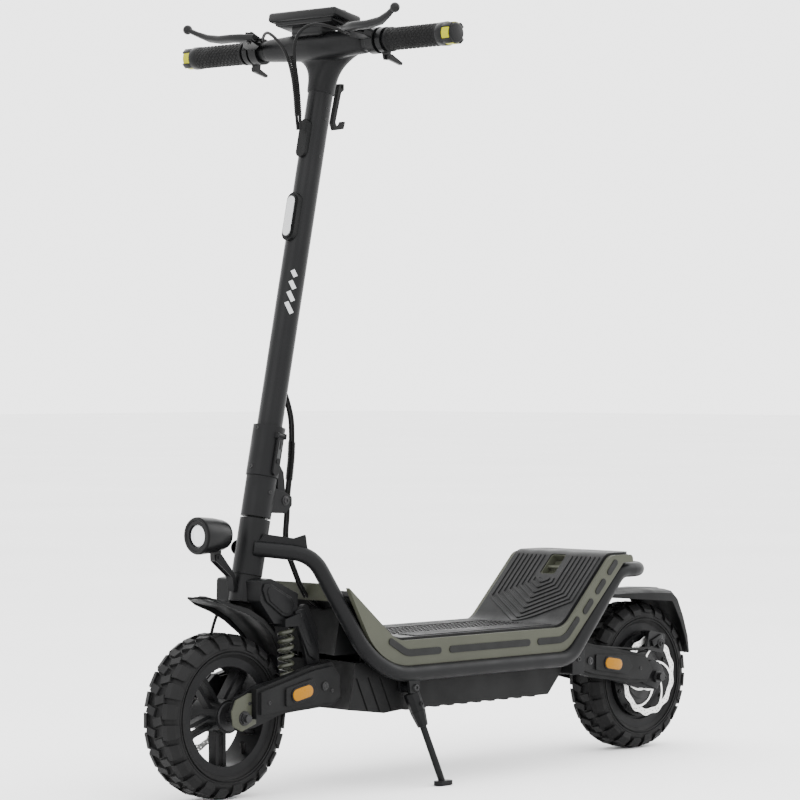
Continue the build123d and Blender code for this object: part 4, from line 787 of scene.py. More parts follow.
@dataclass
class Stem:
    """Fittings up the stem: the white reflector, a plain pale mark, screws, and the wrapped cables."""

    line: SteeringLine
    bar_x: float
    mark_turn: float = radians(52)
    wrap_reach: float = 0.0062
    wrap_wire: float = 0.0012
    cable_gap: float = 0.0032

    def build(self, shop: Workshop) -> None:
        """Makes the stem's fittings."""
        work = bmesh.new()
        self.stadium(work, self.line.at(0.0277, 0, 0.898), 0.064, 0.0165, 0.0012)
        shop.keep("stem_reflector_face", work, "stem", Paint.WHITE)
        work = bmesh.new()
        for step, height in enumerate((0.756, 0.774, 0.792, 0.810)):
            out = self.line.ahead() * cos(self.mark_turn) + Vector((0, sin(self.mark_turn), 0))
            place = self.line.at(0, 0, height) + out * 0.0196
            stand = upright(out, place) @ Matrix.Rotation(radians(24), 4, "Z")
            add_block(work, stand, (0.0070, 0.0200 - 0.0028 * step, 0.0012), 0.0002, 1)
        shop.keep("stem_mark", work, "stem", Paint.MARK)
        work = bmesh.new()
        for left, height in ((0.0204, 1.075), (0.0204, 1.058), (0.0204, 0.998)):
            add_bolt(work, self.line.at(0, left - 0.0008, height), LEFTWARD, 0.0026, 0.0012)
        for height in (0.506, 0.566):
            add_bolt(work, self.line.at(0.0250, 0, height), self.line.ahead(), 0.0034, 0.0016)
        add_bolt(work, self.line.at(0.0, 0.0252, 0.509), Vector((0, 1, 0)), 0.0030, 0.0014)
        shop.keep("stem_screws", work, "stem", Paint.BOLT)
        self.cables(shop)
        self.latch_pad(shop)

    def stadium(self, work: bmesh.types.BMesh, centre: Vector, length: float, width: float,
                thickness: float) -> None:
        """Adds a round-ended bar flat on the front of the stem."""
        up, ahead = self.line.up(), self.line.ahead()
        corners = []
        for end in (1, -1):
            for step in range(13):
                turn = pi * step / 12
                side = cos(turn) * width / 2 * end
                rise = sin(turn) * width / 2 * end + end * (length - width) / 2
                corners.append(tuple(centre + up * rise + Vector((0, side, 0))))
        add_prism(work, corners, ahead * thickness)

    def latch_pad(self, shop: Workshop) -> None:
        """Adds the grey pad, the slot and the round stud on the fold latch."""
        work = bmesh.new()
        tilt = Matrix.Rotation(-self.line.tilt, 4, "Y")
        add_block(work, Matrix.Translation(self.line.at(0, 0.0310, 0.537)) @ tilt, (0.0070, 0.0010, 0.030),
                  0.0006, 2)
        pad = shop.keep("latch_pad", work, "latch", Paint.GREY)
        work = bmesh.new()
        add_block(work, Matrix.Translation(self.line.at(0, 0.0313, 0.544)) @ tilt, (0.0040, 0.0012, 0.0150),
                  0.0006, 2)
        add_drum(work, upright(Vector((0, 1, 0)), self.line.at(0, 0.0308, 0.518)), 0.0034, 0.0010, 24)
        shop.keep("latch_slot", work, "latch", Paint.GLOSS_PLASTIC)

    def cables(self, shop: Workshop) -> None:
        """Makes the cables: from the levers into the stem, behind the fold, and to nose and brake."""
        x = self.bar_x
        left = [(x + 0.033, 0.0925, 1.1885), (x + 0.054, 0.064, 1.204), (x + 0.065, 0.030, 1.198),
                (x + 0.062, 0.008, 1.172), (x + 0.054, 0.004, 1.142), (x + 0.046, 0.0035, 1.106),
                (x + 0.044, 0.0035, 1.070), (x + 0.041, 0.0032, 1.040)]
        right = [(x + 0.033, -0.0925, 1.1885), (x + 0.056, -0.064, 1.200), (x + 0.067, -0.030, 1.188),
                 (x + 0.064, -0.008, 1.164), (x + 0.056, -0.004, 1.138), (x + 0.048, -0.0035, 1.104),
                 (x + 0.045, -0.0035, 1.070), (x + 0.041, -0.0032, 1.040)]
        shop.tube("bar_cables", [left, right], CABLE_RADIUS, Paint.CABLE, "stem")
        self.wrap(shop, "bar_cable_wrap", [(x + 0.058, 1.156), (x + 0.0505, 1.122), (x + 0.0455, 1.086),
                                           (x + 0.0435, 1.062)], 30, "stem")
        fold = ((0.3475, 0.625), (0.334, 0.596), (0.331, 0.560), (0.333, 0.520), (0.338, 0.484),
                (0.341, 0.463), (0.341, 0.457))
        upper = [[(px, side, pz) for px, pz in fold] for side in (-self.cable_gap, self.cable_gap)]
        rear = shop.tube("fold_cables", upper, CABLE_RADIUS, Paint.CABLE, None)
        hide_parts("stem_cables")
        sleeve = self.wrap(shop, "fold_cable_wrap", [(0.3315, 0.548), (0.333, 0.520), (0.3375, 0.488)], 24,
                           None)
        for piece in (rear, sleeve):
            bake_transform(piece)
        drop = ((0.341, 0.459), (0.344, 0.430), (0.350, 0.400), (0.346, 0.372), (0.334, 0.346),
                (0.322, 0.318), (0.302, 0.291), (0.2795, 0.283))
        lower = [[(px, side + 0.002 * step, pz) for step, (px, pz) in enumerate(drop)]
                 for side in (-self.cable_gap, self.cable_gap)]
        nose = shop.tube("nose_cables", lower, CABLE_RADIUS, Paint.CABLE, None)
        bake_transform(nose)
        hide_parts("body_cables")
        front = [(0.4423, -0.045, 0.2928), (0.448, -0.052, 0.272), (0.454, -0.056, 0.244),
                 (0.458, -0.054, 0.216), (0.457, -0.047, 0.1885)]
        hose = shop.tube("front_brake_hose", [front], CABLE_RADIUS, Paint.CABLE, "fork")
        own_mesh(hose)
        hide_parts("front_brake_cable")

    def wrap(self, shop: Workshop, name: str, middles: list[tuple[float, float]], turns: int,
             body: str | None) -> bpy.types.Object:
        """Makes the spiral wrap that holds two cables together.

        Args:
            shop: the workshop.
            name: the piece's name.
            middles: the middle of the bundle in X and Z, from end to end.
            turns: how many times the wrap goes round.
            body: the body it rides on, or None to leave it on no body.

        Returns:
            The new mesh object.
        """
        route = self.wrap_route([Vector((px, 0, pz)) for px, pz in middles], self.wrap_reach, turns)
        return shop.tube(name, [route], self.wrap_wire, Paint.CABLE, body, 3)

    def wrap_route(self, points: list[Vector], radius: float, turns: int) -> list[Point]:
        """A helix round a run of points, for the wrap that holds two cables together.

        Args:
            points: the middle of the bundle, from end to end.
            radius: the wrap's radius.
            turns: how many times it goes round.

        Returns:
            The helix's control points.
        """
        lengths = [0.0]
        for before, after in zip(points, points[1:]):
            lengths.append(lengths[-1] + (after - before).length)
        route = []
        count = turns * 8
        for step in range(count + 1):
            share = lengths[-1] * step / count
            leg = max(i for i in range(len(points) - 1) if lengths[i] <= share + 1e-9)
            part = (share - lengths[leg]) / (lengths[leg + 1] - lengths[leg])
            middle = points[leg].lerp(points[leg + 1], part)
            way = (points[leg + 1] - points[leg]).normalized()
            other = way.cross(LEFTWARD)
            turn = step / 8 * tau
            route.append(tuple(middle + LEFTWARD * cos(turn) * radius + other * sin(turn) * radius * 0.7))
        return route


@dataclass
class Chassis:
    """Bolts, caps and small fittings on the arms, the yoke, the frame and the rear brake."""

    line: SteeringLine
    cover_face: float = 0.0805
    plate_face: float = 0.0622
    plate_thickness: float = 0.0030

    def build(self, shop: Workshop) -> None:
        """Makes the fittings, body by body."""
        self.arm_fittings(shop)
        self.yoke_fittings(shop)
        self.frame_fittings(shop)
        self.rear_cables(shop)

    def arm_fittings(self, shop: Workshop) -> None:
        """Adds pivot caps and cover screws to the swing arms, and the olive plates behind the axle nuts."""
        for name, body, pivot, spots in (
            ("front_arm_screws", "front_arm", Vector((0.338, 0, 0.168)), ((0.457, 0.150), (0.322, 0.160))),
            ("rear_arm_screws", "rear_arm", Vector((-0.293, 0, 0.168)), ((-0.427, 0.147), (-0.275, 0.180))),
        ):
            work = bmesh.new()
            for way in (-1, 1):
                axis = Vector((0, way, 0))
                cap = Vector((pivot.x, way * self.cover_face, pivot.z))
                add_drum(work, upright(axis, cap), 0.0072, 0.0024, 32, 0.0066)
                add_bolt(work, cap + axis * 0.0024, axis, 0.0050, 0.0012)
                for spot_x, spot_z in spots:
                    spot = Vector((spot_x, way * (self.cover_face + 0.0003), spot_z))
                    add_bolt(work, spot, axis, 0.0032, 0.0014)
            shop.keep(name, work, body, Paint.BOLT)
        front = [(0.521, 0.139), (0.512, 0.157), (0.486, 0.166), (0.470, 0.165), (0.470, 0.118),
                 (0.500, 0.108), (0.518, 0.117)]
        rear = [(-0.514, 0.128), (-0.502, 0.148), (-0.476, 0.157), (-0.452, 0.150), (-0.452, 0.118),
                (-0.490, 0.106)]
        for name, body, outline, finish, slot in (
            ("front_dropouts", "front_arm", front, Paint.OLIVE, "olive_plastic"),
            ("rear_dropouts", "rear_arm", rear, Paint.CHARCOAL, "painted_metal"),
        ):
            work = bmesh.new()
            for way in (-1, 1):
                corners = [(px, way * self.plate_face, pz) for px, pz in outline]
                add_prism(work, corners, Vector((0, way * self.plate_thickness, 0)), 0.0008)
            shop.keep(name, work, body, finish)
        work = bmesh.new()
        face = self.plate_face + self.plate_thickness
        for way in (-1, 1):
            axis = Vector((0, way, 0))
            for px, pz in ((0.484, 0.150), (0.479, 0.128)):
                add_bolt(work, Vector((px, way * face, pz)), axis, 0.0030, 0.0016)
            add_drum(work, upright(axis, Vector((0.495, way * face, 0.128))), 0.0115, 0.0022, 32, 0.0108)
        shop.keep("dropout_bolts", work, "front_arm", Paint.BOLT)

    def yoke_fittings(self, shop: Workshop) -> None:
        """Adds raised side plates, bolts and a lower boss to the yoke."""
        slab = [(0.444, 0.322), (0.440, 0.331), (0.428, 0.331), (0.382, 0.307), (0.376, 0.296),
                (0.380, 0.281), (0.390, 0.276), (0.402, 0.279), (0.436, 0.303)]
        middle = sum((Vector(corner) for corner in slab), Vector((0, 0))) / len(slab)
        inner = [tuple(middle + (Vector(corner) - middle) * 0.78) for corner in slab]
        leg = [(0.376, 0.285), (0.356, 0.289), (0.326, 0.226), (0.332, 0.206), (0.346, 0.214), (0.371, 0.262)]
        well = [(0.367, 0.268), (0.357, 0.272), (0.338, 0.234), (0.344, 0.229), (0.352, 0.236)]
        plates = ((slab, 0.0495, 0.0040, 0.0016, 3), (inner, 0.0530, 0.0028, 0.0012, 3),
                  (leg, 0.0515, 0.0030, 0.0012, 3), (well, 0.0540, 0.0012, 0.0005, 2))
        work = bmesh.new()
        for way in (-1, 1):
            for outline, face, thickness, bevel, segments in plates:
                corners = [(px, way * face, pz) for px, pz in outline]
                add_prism(work, corners, Vector((0, way * thickness, 0)), bevel, segments)
        shop.keep("yoke_plates", work, "fork", Paint.CHARCOAL)
        work = bmesh.new()
        for way in (-1, 1):
            axis = Vector((0, way, 0))
            add_bolt(work, Vector((0.366, way * 0.0544, 0.279)), axis, 0.0036, 0.002)
            add_bolt(work, Vector((0.362, way * 0.0175, 0.456)), axis, 0.0058, 0.003)
            add_drum(work, upright(axis, Vector((0.362, way * 0.0172, 0.456))), 0.0075, 0.0015, 32)
        add_bolt(work, self.line.at(0.0, 0.0236, 0.470), LEFTWARD, 0.0034, 0.0016)
        shop.keep("yoke_bolts", work, "fork", Paint.BOLT)

    def frame_fittings(self, shop: Workshop) -> None:
        """Adds the rails' end plugs, and bolts on the frame and the kickstand's pivot."""
        work = bmesh.new()
        for way in (-1, 1):
            axis = Vector((0, way, 0))
            plug = upright(Vector((1, 0, 0.1)).normalized(), Vector((0.424, way * 0.0175, 0.3835)))
            add_drum(work, plug, 0.0116, 0.0075, 32, 0.0100, 0.0008)
            add_bolt(work, Vector((-0.237, way * 0.1038, 0.176)), axis, 0.0048, 0.0025)
        add_bolt(work, Vector((0.172, 0.1178, 0.1565)), Vector((0, 1, 0)), 0.0062, 0.0030)
        shop.keep("frame_bolts", work, "body", Paint.BOLT)

    def rear_cables(self, shop: Workshop) -> None:
        """Makes the motor lead and the brake cable along the left rear arm, and the caliper's arm."""
        brake = [(-0.262, 0.036, 0.176), (-0.300, 0.040, 0.192), (-0.360, 0.050, 0.186),
                 (-0.430, 0.052, 0.178), (-0.470, 0.054, 0.176), (-0.492, 0.054, 0.182)]
        motor = [(-0.262, 0.030, 0.170), (-0.310, 0.034, 0.196), (-0.370, 0.047, 0.168),
                 (-0.440, 0.0530, 0.148), (-0.484, 0.0545, 0.140)]
        shop.tube("rear_cables", [brake, motor], 0.0026, Paint.CABLE, "rear_arm")
        work = bmesh.new()
        tilted = Matrix.Translation((-0.499, 0.0585, 0.190)) @ Matrix.Rotation(radians(20), 4, "Y")
        add_block(work, tilted, (0.030, 0.004, 0.012), 0.0015)
        add_drum(work, upright(LEFTWARD, Vector((-0.506, 0.0555, 0.184))), 0.0095, 0.0065, 32, 0.0085)
        add_bolt(work, Vector((-0.506, 0.0620, 0.184)), LEFTWARD, 0.0050, 0.002)
        shop.keep("caliper_arm", work, "rear_arm", Paint.ALLOY)


@dataclass
class Lamp:
    """The round headlight: a turned housing, a deep bezel and a domed lens."""

    rear: Vector
    length: float = 0.060
    radius: float = 0.0285

    def build(self, shop: Workshop) -> None:
        """Makes the lamp's shell with its bezel ring, and the lens dome."""
        work = bmesh.new()
        front, radius = self.length, self.radius
        shell = [(0.0002, 0.0170), (0.0040, 0.0212), (0.0110, 0.0238), (0.0300, 0.0272),
                 (front - 0.006, radius + 0.0006), (front - 0.001, radius + 0.0004),
                 (front - 0.002, radius - 0.003), (0.0300, 0.0230), (0.0060, 0.0160)]
        spin_profile(work, shell, self.rear, FORWARD, UPWARD, 72)
        ring = [(front - 0.004, radius - 0.0002), (front + 0.0016, radius - 0.0012),
                (front + 0.0018, radius - 0.004), (front - 0.004, 0.0200), (front - 0.008, 0.0192),
                (front - 0.008, radius - 0.003)]
        spin_profile(work, ring, self.rear, FORWARD, UPWARD, 72)
        shop.keep("lamp_bezel", work, "lamp", Paint.GLOSS_PLASTIC)
        work = bmesh.new()
        dome = [(front - 0.006, 0.0001), (front - 0.0012, 0.0001), (front - 0.0022, 0.010),
                (front - 0.0050, 0.0168), (front - 0.0080, 0.0178), (front - 0.0085, 0.0001)]
        spin_profile(work, dome, self.rear, FORWARD, UPWARD, 48)
        lens = shop.keep("lamp_dome", work, "lamp", Paint.LENS)


def add_loft(work: bmesh.types.BMesh, rings: list[list[Vector]], cap: bool = True) -> None:
    """Skins a run of closed rings with one smooth shell.

    Args:
        work: the mesh to add to.
        rings: the rings in order, each with the same number of points.
        cap: whether the two ends are closed.
    """
    loops = []
    for ring in rings:
        verts = [work.verts.new(point) for point in ring]
        loops.append([work.edges.new((verts[i], verts[(i + 1) % len(verts)])) for i in range(len(verts))])
    for before, after in zip(loops, loops[1:]):
        bmesh.ops.bridge_loops(work, edges=[*before, *after])
    if cap:
        for loop in (loops[0], loops[-1]):
            bmesh.ops.edgenet_fill(work, edges=loop)


def oval(centre: Vector, side: Vector, lift: Vector, half_side: float, half_lift: float, count: int = 24,
         square: float = 1.0) -> list[Vector]:
    """An oval ring, squarer as its last number falls below one."""
    ring = []
    for step in range(count):
        turn = step / count * tau
        across, rise = cos(turn), sin(turn)
        ring.append(centre + side * half_side * (abs(across) ** square) * (1 if across >= 0 else -1)
                    + lift * half_lift * (abs(rise) ** square) * (1 if rise >= 0 else -1))
    return ring


@dataclass
class Rotor:
    """A brake disc with a wavy rim, drilled holes and curved arms to its carrier."""

    name: str
    node: str
    body: str
    centre: Vector
    y: float
    radius: float
    inner: float
    hub: float
    finish: Finish
    waves: int = 12
    thickness: float = 0.0022
    levels: int = 6
    arms: int = 6
    arm_sweep: float = 1.05

    def spot(self, turn: float, radius: float) -> Vector:
        """A point on the disc's near face."""
        return Vector((self.centre.x + cos(turn) * radius, self.y - self.thickness / 2,
                       self.centre.z + sin(turn) * radius))

    def build(self, shop: Workshop) -> None:
        """Makes the disc and hides the plain one."""
        work = bmesh.new()
        columns = self.waves * 12
        made = bmesh.ops.create_grid(work, x_segments=columns, y_segments=self.levels, size=0.5)["verts"]
        doomed = []
        for face in work.faces:
            middle = face.calc_center_median()
            column, level = int((middle.x + 0.5) * columns), int((middle.y + 0.5) * self.levels)
            if (level, column % 6) in ((1, 1), (3, 4)) or (level, column % 12) == (4, 0):
                doomed.append(face)
        bmesh.ops.delete(work, geom=doomed, context="FACES")
        for vert in made:
            turn = (vert.co.x + 0.5) * tau
            outer = self.radius - 0.0018 + 0.0016 * cos(turn * self.waves)
            inner = self.inner + 0.0008 * cos(turn * self.waves)
            vert.co = self.spot(turn, inner + (outer - inner) * (vert.co.y + 0.5))
        bmesh.ops.remove_doubles(work, verts=work.verts, dist=SEAM)
        drawn = bmesh.ops.extrude_face_region(work, geom=work.faces[:])["geom"]
        bmesh.ops.translate(work, verts=[item for item in drawn if isinstance(item, bmesh.types.BMVert)],
                            vec=(0, self.thickness, 0))
        for arm in range(self.arms):
            rings = []
            for step in range(9):
                part = step / 8
                radius = self.hub - 0.004 + (self.inner + 0.002 - self.hub + 0.004) * part
                turn = arm * tau / self.arms + part * self.arm_sweep
                along = Vector((-sin(turn), 0, cos(turn)))
                middle = self.spot(turn, radius) + Vector((0, self.thickness / 2, 0))
                half = 0.0046 - 0.0020 * sin(part * pi)
                rings.append([middle + along * sx * half + Vector((0, sy * self.thickness * 0.45, 0))
                              for sx, sy in ((-1, -1), (1, -1), (1, 1), (-1, 1))])
            add_loft(work, rings)
        way = 1.0 if self.y > 0 else -1.0
        inside = Vector((self.centre.x, self.y - way * self.thickness / 2, self.centre.z))
        add_drum(work, upright(Vector((0, way, 0)), inside), self.hub, self.thickness, 48)
        disc = shop.keep(self.name, work, self.body, self.finish, 40.0)
        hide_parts(self.node)


@dataclass
class Fender:
    """A moulded mudguard: a crowned sheet with a rolled edge, swept along a bent line."""

    name: str
    node: str
    body: str
    line: list[tuple[float, float]]
    widths: list[float]
    skirts: list[float]
    thickness: float = 0.003

    def build(self, shop: Workshop) -> None:
        """Makes the mudguard and hides the plain one."""
        work = bmesh.new()
        spots = [Vector((px, 0, pz)) for px, pz in self.line]
        rings = []
        for index, (middle, half, skirt) in enumerate(zip(spots, self.widths, self.skirts)):
            along = (spots[min(len(spots) - 1, index + 1)] - spots[max(0, index - 1)]).normalized()
            out = LEFTWARD.cross(along)
            if out.z < 0:
                out = -out
            edge = [(-1.0, -skirt), (-0.985, -skirt * 0.35), (-0.88, -0.0035), (-0.55, -0.0008), (-0.28, 0.0),
                    (-0.22, 0.0014)]
            section = [*edge, *[(-side, rise) for side, rise in reversed(edge)]]
            top = [middle + Vector((0, side * half, 0)) + out * rise for side, rise in section]
            inset = half - self.thickness
            low = [middle + Vector((0, side * inset,
                                    0)) + out * (rise - (self.thickness if abs(side) < 0.95 else 0))
                   for side, rise in reversed(section)]
            rings.append([*top, *low])
        add_loft(work, rings)
        guard = shop.keep(self.name, work, self.body, Paint.PLASTIC, 40.0)
        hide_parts(self.node)


@dataclass
class DeckMat:
    """The rubber mat: nested chevron ribs up the rear kick, and bars and studs over the flat."""

    top: float = 0.2362
    kick_low: Vector = field(default_factory=lambda: Vector((-0.2065, 0, 0.2440)))
    kick_high: Vector = field(default_factory=lambda: Vector((-0.3050, 0, 0.3425)))
    rib: float = 0.0062
    pitch: float = 0.0100
    height: float = 0.0017
    outermost: float = 0.0915
    rib_step: float = 0.008
    skin: BVHTree | None = None

    def build(self, shop: Workshop) -> None:
        """Makes the ribs and the studs on the mat."""
        work = bmesh.new()
        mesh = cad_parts["deck_mat"].data
        self.skin = BVHTree.FromPolygons([vert.co for vert in mesh.vertices],
                                         [face.vertices for face in mesh.polygons])
        up = (self.kick_high - self.kick_low).normalized()
        length = (self.kick_high - self.kick_low).length
        normal = Vector((up.z, 0, -up.x))
        for way in (-1, 1):
            for index in range(9):
                away = self.outermost - index * self.pitch
                point = index * self.pitch * 1.17 - 0.016
                stop = length if away > 0.030 else length - 0.052
                self.strip(work, [(away, stop), (away, point + away * 0.6), (0.0, point)], way, up, normal)
        for index in range(5):
            away = self.outermost - index * self.pitch
            for way in (-1, 1):
                place = Matrix.Translation((-0.015, way * away, self.top + self.height / 2 - 0.0004))
                add_block(work, place, (0.330 - index * 0.004, self.rib, self.height), 0.0006, 1)
        for row in range(36):
            for column in range(-4, 5):
                shift = 0.0045 if row % 2 else 0.0
                place = Matrix.Translation((0.142 - row * 0.0090, column * 0.0100 + shift, self.top + 0.0003))
                turned = place @ Matrix.Rotation(radians(35 if row % 2 else -35), 4, "Z")
                add_block(work, turned, (0.0056, 0.0024, 0.0014))
        ribs = shop.keep("mat_ribs", work, "body", Paint.MAT, 30.0)

    def strip(self, work: bmesh.types.BMesh, path: list[tuple[float, float]], way: int, up: Vector,
              normal: Vector) -> None:
        """Adds one raised rib along a path on the kick.

        Args:
            work: the mesh to add to.
            path: points as distance from the middle and height up the kick.
            way: which side of the middle it lies on.
            up: the way up the kick.
            normal: the way out of the kick.
        """
        fine = [path[0]]
        for start, end in zip(path, path[1:]):
            across, climb = end[0] - start[0], end[1] - start[1]
            count = max(1, round(hypot(across, climb) / self.rib_step))
            fine += [(start[0] + across * step / count, start[1] + climb * step / count)
                     for step in range(1, count + 1)]
        rings = []
        for index, (away, rise) in enumerate(fine):
            ahead, behind = fine[min(index + 1, len(fine) - 1)], fine[max(index - 1, 0)]
            run = Vector(((ahead[0] - behind[0]), (ahead[1] - behind[1]))).normalized()
            cross = Vector((-run.y, run.x)) * (self.rib / 2)
            ring = []
            for side, lift in ((-1, -0.0006), (1, -0.0006), (0.78, self.height), (-0.78, self.height)):
                spot = self.kick_low + Vector((0, way * (away + cross.x * side),
                                               0)) + up * (rise + cross.y * side)
                touch, face_way, _, _ = self.skin.ray_cast(spot + normal * 0.05, -normal)
                ring.append((touch if touch else spot) + (face_way if touch else normal) * lift)
            rings.append(ring)
        add_loft(work, rings)


@dataclass
class BarShell:
    """The moulded crown that joins the stem to the bar, and the display on top of it."""

    line: SteeringLine
    x: float
    z: float
    voxel: float = 0.0022
    screen_tilt: float = radians(-12)
    ball_radius: float = 0.0078

    def build(self, shop: Workshop) -> None:
        """Makes the crown, the display and the levers."""
        self.crown(shop)
        self.display(shop)
        self.levers(shop)

    def crown(self, shop: Workshop) -> None:
        """Makes the flared crown in one smooth skin."""
        work = bmesh.new()
        centre = Vector((self.x, 0, self.z))
        ahead, up = self.line.ahead(), self.line.up()
        half = ((-0.112, 0.0176), (-0.106, 0.0192), (-0.080, 0.0205), (-0.045, 0.0225))
        spread = (*half, (0.0, 0.0240), *[(-left, radius) for left, radius in reversed(half)])
        add_loft(work, [oval(centre + LEFTWARD * left, ahead, up, radius, radius * 0.96, 32) for left,
                        radius in spread])
        rings = []
        for step in range(9):
            part = step / 8
            height = 1.098 + 0.070 * part
            rings.append(oval(self.line.at(0, 0, height), LEFTWARD, ahead, 0.0222 + 0.062 * part ** 3.2,
                              0.0222 - 0.002 * part, 32, 1.0 - 0.22 * part))
        add_loft(work, rings)
        mesh = bpy.data.meshes.new("crown_rough")
        bmesh.ops.recalc_face_normals(work, faces=work.faces)
        work.to_mesh(mesh)
        work.free()
        rough = bpy.data.objects.new("crown_rough", mesh)
        bpy.context.scene.collection.objects.link(rough)
        union = rough.modifiers.new("union", "REMESH")
        union.mode = "VOXEL"
        union.voxel_size = self.voxel
        soft = rough.modifiers.new("soft", "SMOOTH")
        soft.factor = 0.5
        soft.iterations = 12
        bpy.context.view_layer.update()
        done = bpy.data.meshes.new_from_object(rough.evaluated_get(bpy.context.evaluated_depsgraph_get()))
        bpy.data.objects.remove(rough)
        work = bmesh.new()
        work.from_mesh(done)
        crown = shop.keep("bar_crown", work, "stem", Paint.CHARCOAL, 60.0)
        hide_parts("bar_shell")

    def display(self, shop: Workshop) -> None:
        """Makes the display's rounded case and the plinth below it."""
        seat = Matrix.Translation((self.x + 0.008, 0, self.z + 0.042)) @ Matrix.Rotation(self.screen_tilt, 4,
                "Y")
        work = bmesh.new()
        add_block(work, seat @ Matrix.Translation((0, 0, 0.0002)), (0.0622, 0.1504, 0.0154), 0.0046, 4)
        add_block(work, seat @ Matrix.Translation((0, 0, -0.0085)), (0.050, 0.128, 0.010), 0.0042, 4)
        add_block(work, seat @ Matrix.Translation((-0.003, 0, -0.0190)), (0.036, 0.070, 0.022), 0.006, 4)
        case = shop.keep("display_case", work, "stem", Paint.GLOSS_PLASTIC, 30.0)
        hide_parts("display_pod")

    def levers(self, shop: Workshop) -> None:
        """Makes both brake levers: a curved blade that ends in a ball."""
        normal, fore = Vector((0.394, 0, -0.919)), Vector((0.919, 0, 0.394))
        stations = ((0.0, 0.0, 0.0065, 0.0046), (0.06, 0.0, 0.0095, 0.0052), (0.16, 0.0045, 0.0095, 0.0060),
                    (0.30, 0.0075, 0.0088, 0.0058), (0.50, 0.0030, 0.0082, 0.0060),
                    (0.70, -0.0020, 0.0076, 0.0056), (0.86, -0.0005, 0.0058, 0.0044),
                    (0.96, 0.0015, 0.0050, 0.0044), (1.0, 0.0020, 0.0046, 0.0044))
        for name, side, way, reach in (("left_blade", "left", 1, 0.228), ("right_blade", "right", -1, 0.242)):
            work = bmesh.new()
            root = Vector((self.x + 0.042, way * 0.100, self.z + 0.018))
            tip = Vector((self.x + 0.0575, way * reach, self.z + 0.034))
            rings = []
            for part, sway, half, thick in stations:
                lift = UPWARD * (0.005 * (part ** 3) - 0.009 * sin(part * pi))
                rings.append(oval(root.lerp(tip, part) + fore * sway + lift, fore, normal, half, thick, 20,
                                  0.85))
            add_loft(work, rings)
            ball = Matrix.Translation(tip + fore * 0.0015 + UPWARD * 0.005)
            bmesh.ops.create_uvsphere(work, u_segments=24, v_segments=16, radius=self.ball_radius,
                                      matrix=ball)
            blade = shop.keep(name, work, f"lever_{side}", Paint.ALLOY, 40.0)
            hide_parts(f"brake_lever_{side}")


@dataclass
class SideMarkers:
    """The amber reflectors on the swing arms, each in a dark frame, and the kickstand's sleeve."""

    length: float = 0.043
    width: float = 0.0185
    face: float = 0.0830
    depth: float = 0.0040
    frame_width: float = 0.0024

    def build(self, shop: Workshop) -> None:
        """Makes the reflectors, their frames and the sleeve."""
        for name, node, body, px, pz, tilt in (
            ("front_ambers", "front_reflectors", "front_arm", 0.390, 0.161, 11.0),
            ("rear_ambers", "rear_reflectors", "rear_arm", -0.350, 0.160, -9.0),
        ):
            lit, dark = bmesh.new(), bmesh.new()
            for way in (-1, 1):
                for work, grow, near in ((dark, self.frame_width, self.face - 0.0015), (lit, 0.0, self.face)):
                    outline = self.outline(px, pz, tilt, way * near, grow)
                    add_prism(work, outline, Vector((0, way * self.depth, 0)), 0.0009, 2)
            lens = shop.keep(name, lit, body, Paint.AMBER)
            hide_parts(node)
            shop.keep(name + "_frame", dark, body, Paint.GLOSS_PLASTIC)
        pivot, foot = Vector((0.172, 0.104, 0.1565)), Vector((0.132, 0.140, 0.001))
        way = (foot - pivot).normalized()
        work = bmesh.new()
        add_drum(work, upright(way, pivot + way * 0.010), 0.0135, 0.030, 8, 0.0125, 0.0010)
        add_drum(work, upright(way, pivot + way * 0.040), 0.0128, 0.026, 8, 0.0085, 0.0008)
        add_bolt(work, pivot + way * 0.030 + Vector((0, 0.0125, 0.003)), Vector((0, 1, 0)), 0.0036, 0.002)
        sleeve = shop.keep("stand_sleeve", work, "stand", Paint.CHARCOAL, 30.0)

    def outline(self, px: float, pz: float, tilt: float, y: float, grow: float) -> list[Point]:
        """A round-ended outline on the side of an arm.

        Args:
            px: its middle, forward.
            pz: its middle, above the floor.
            tilt: how far its front end dips, in degrees.
            y: its distance from the middle plane.
            grow: how far it stands out all round.

        Returns:
            The outline's points.
        """
        radius = self.width / 2 + grow
        straight = (self.length - self.width) / 2
        corners = []
        for end in (1, -1):
            for step in range(11):
                turn = -pi / 2 + pi * step / 10
                along, rise = end * (straight + cos(turn) * radius), end * sin(turn) * radius
                cosine, sine = cos(radians(-tilt)), sin(radians(-tilt))
                corners.append((px + along * cosine - rise * sine, y, pz + along * sine + rise * cosine))
        return corners


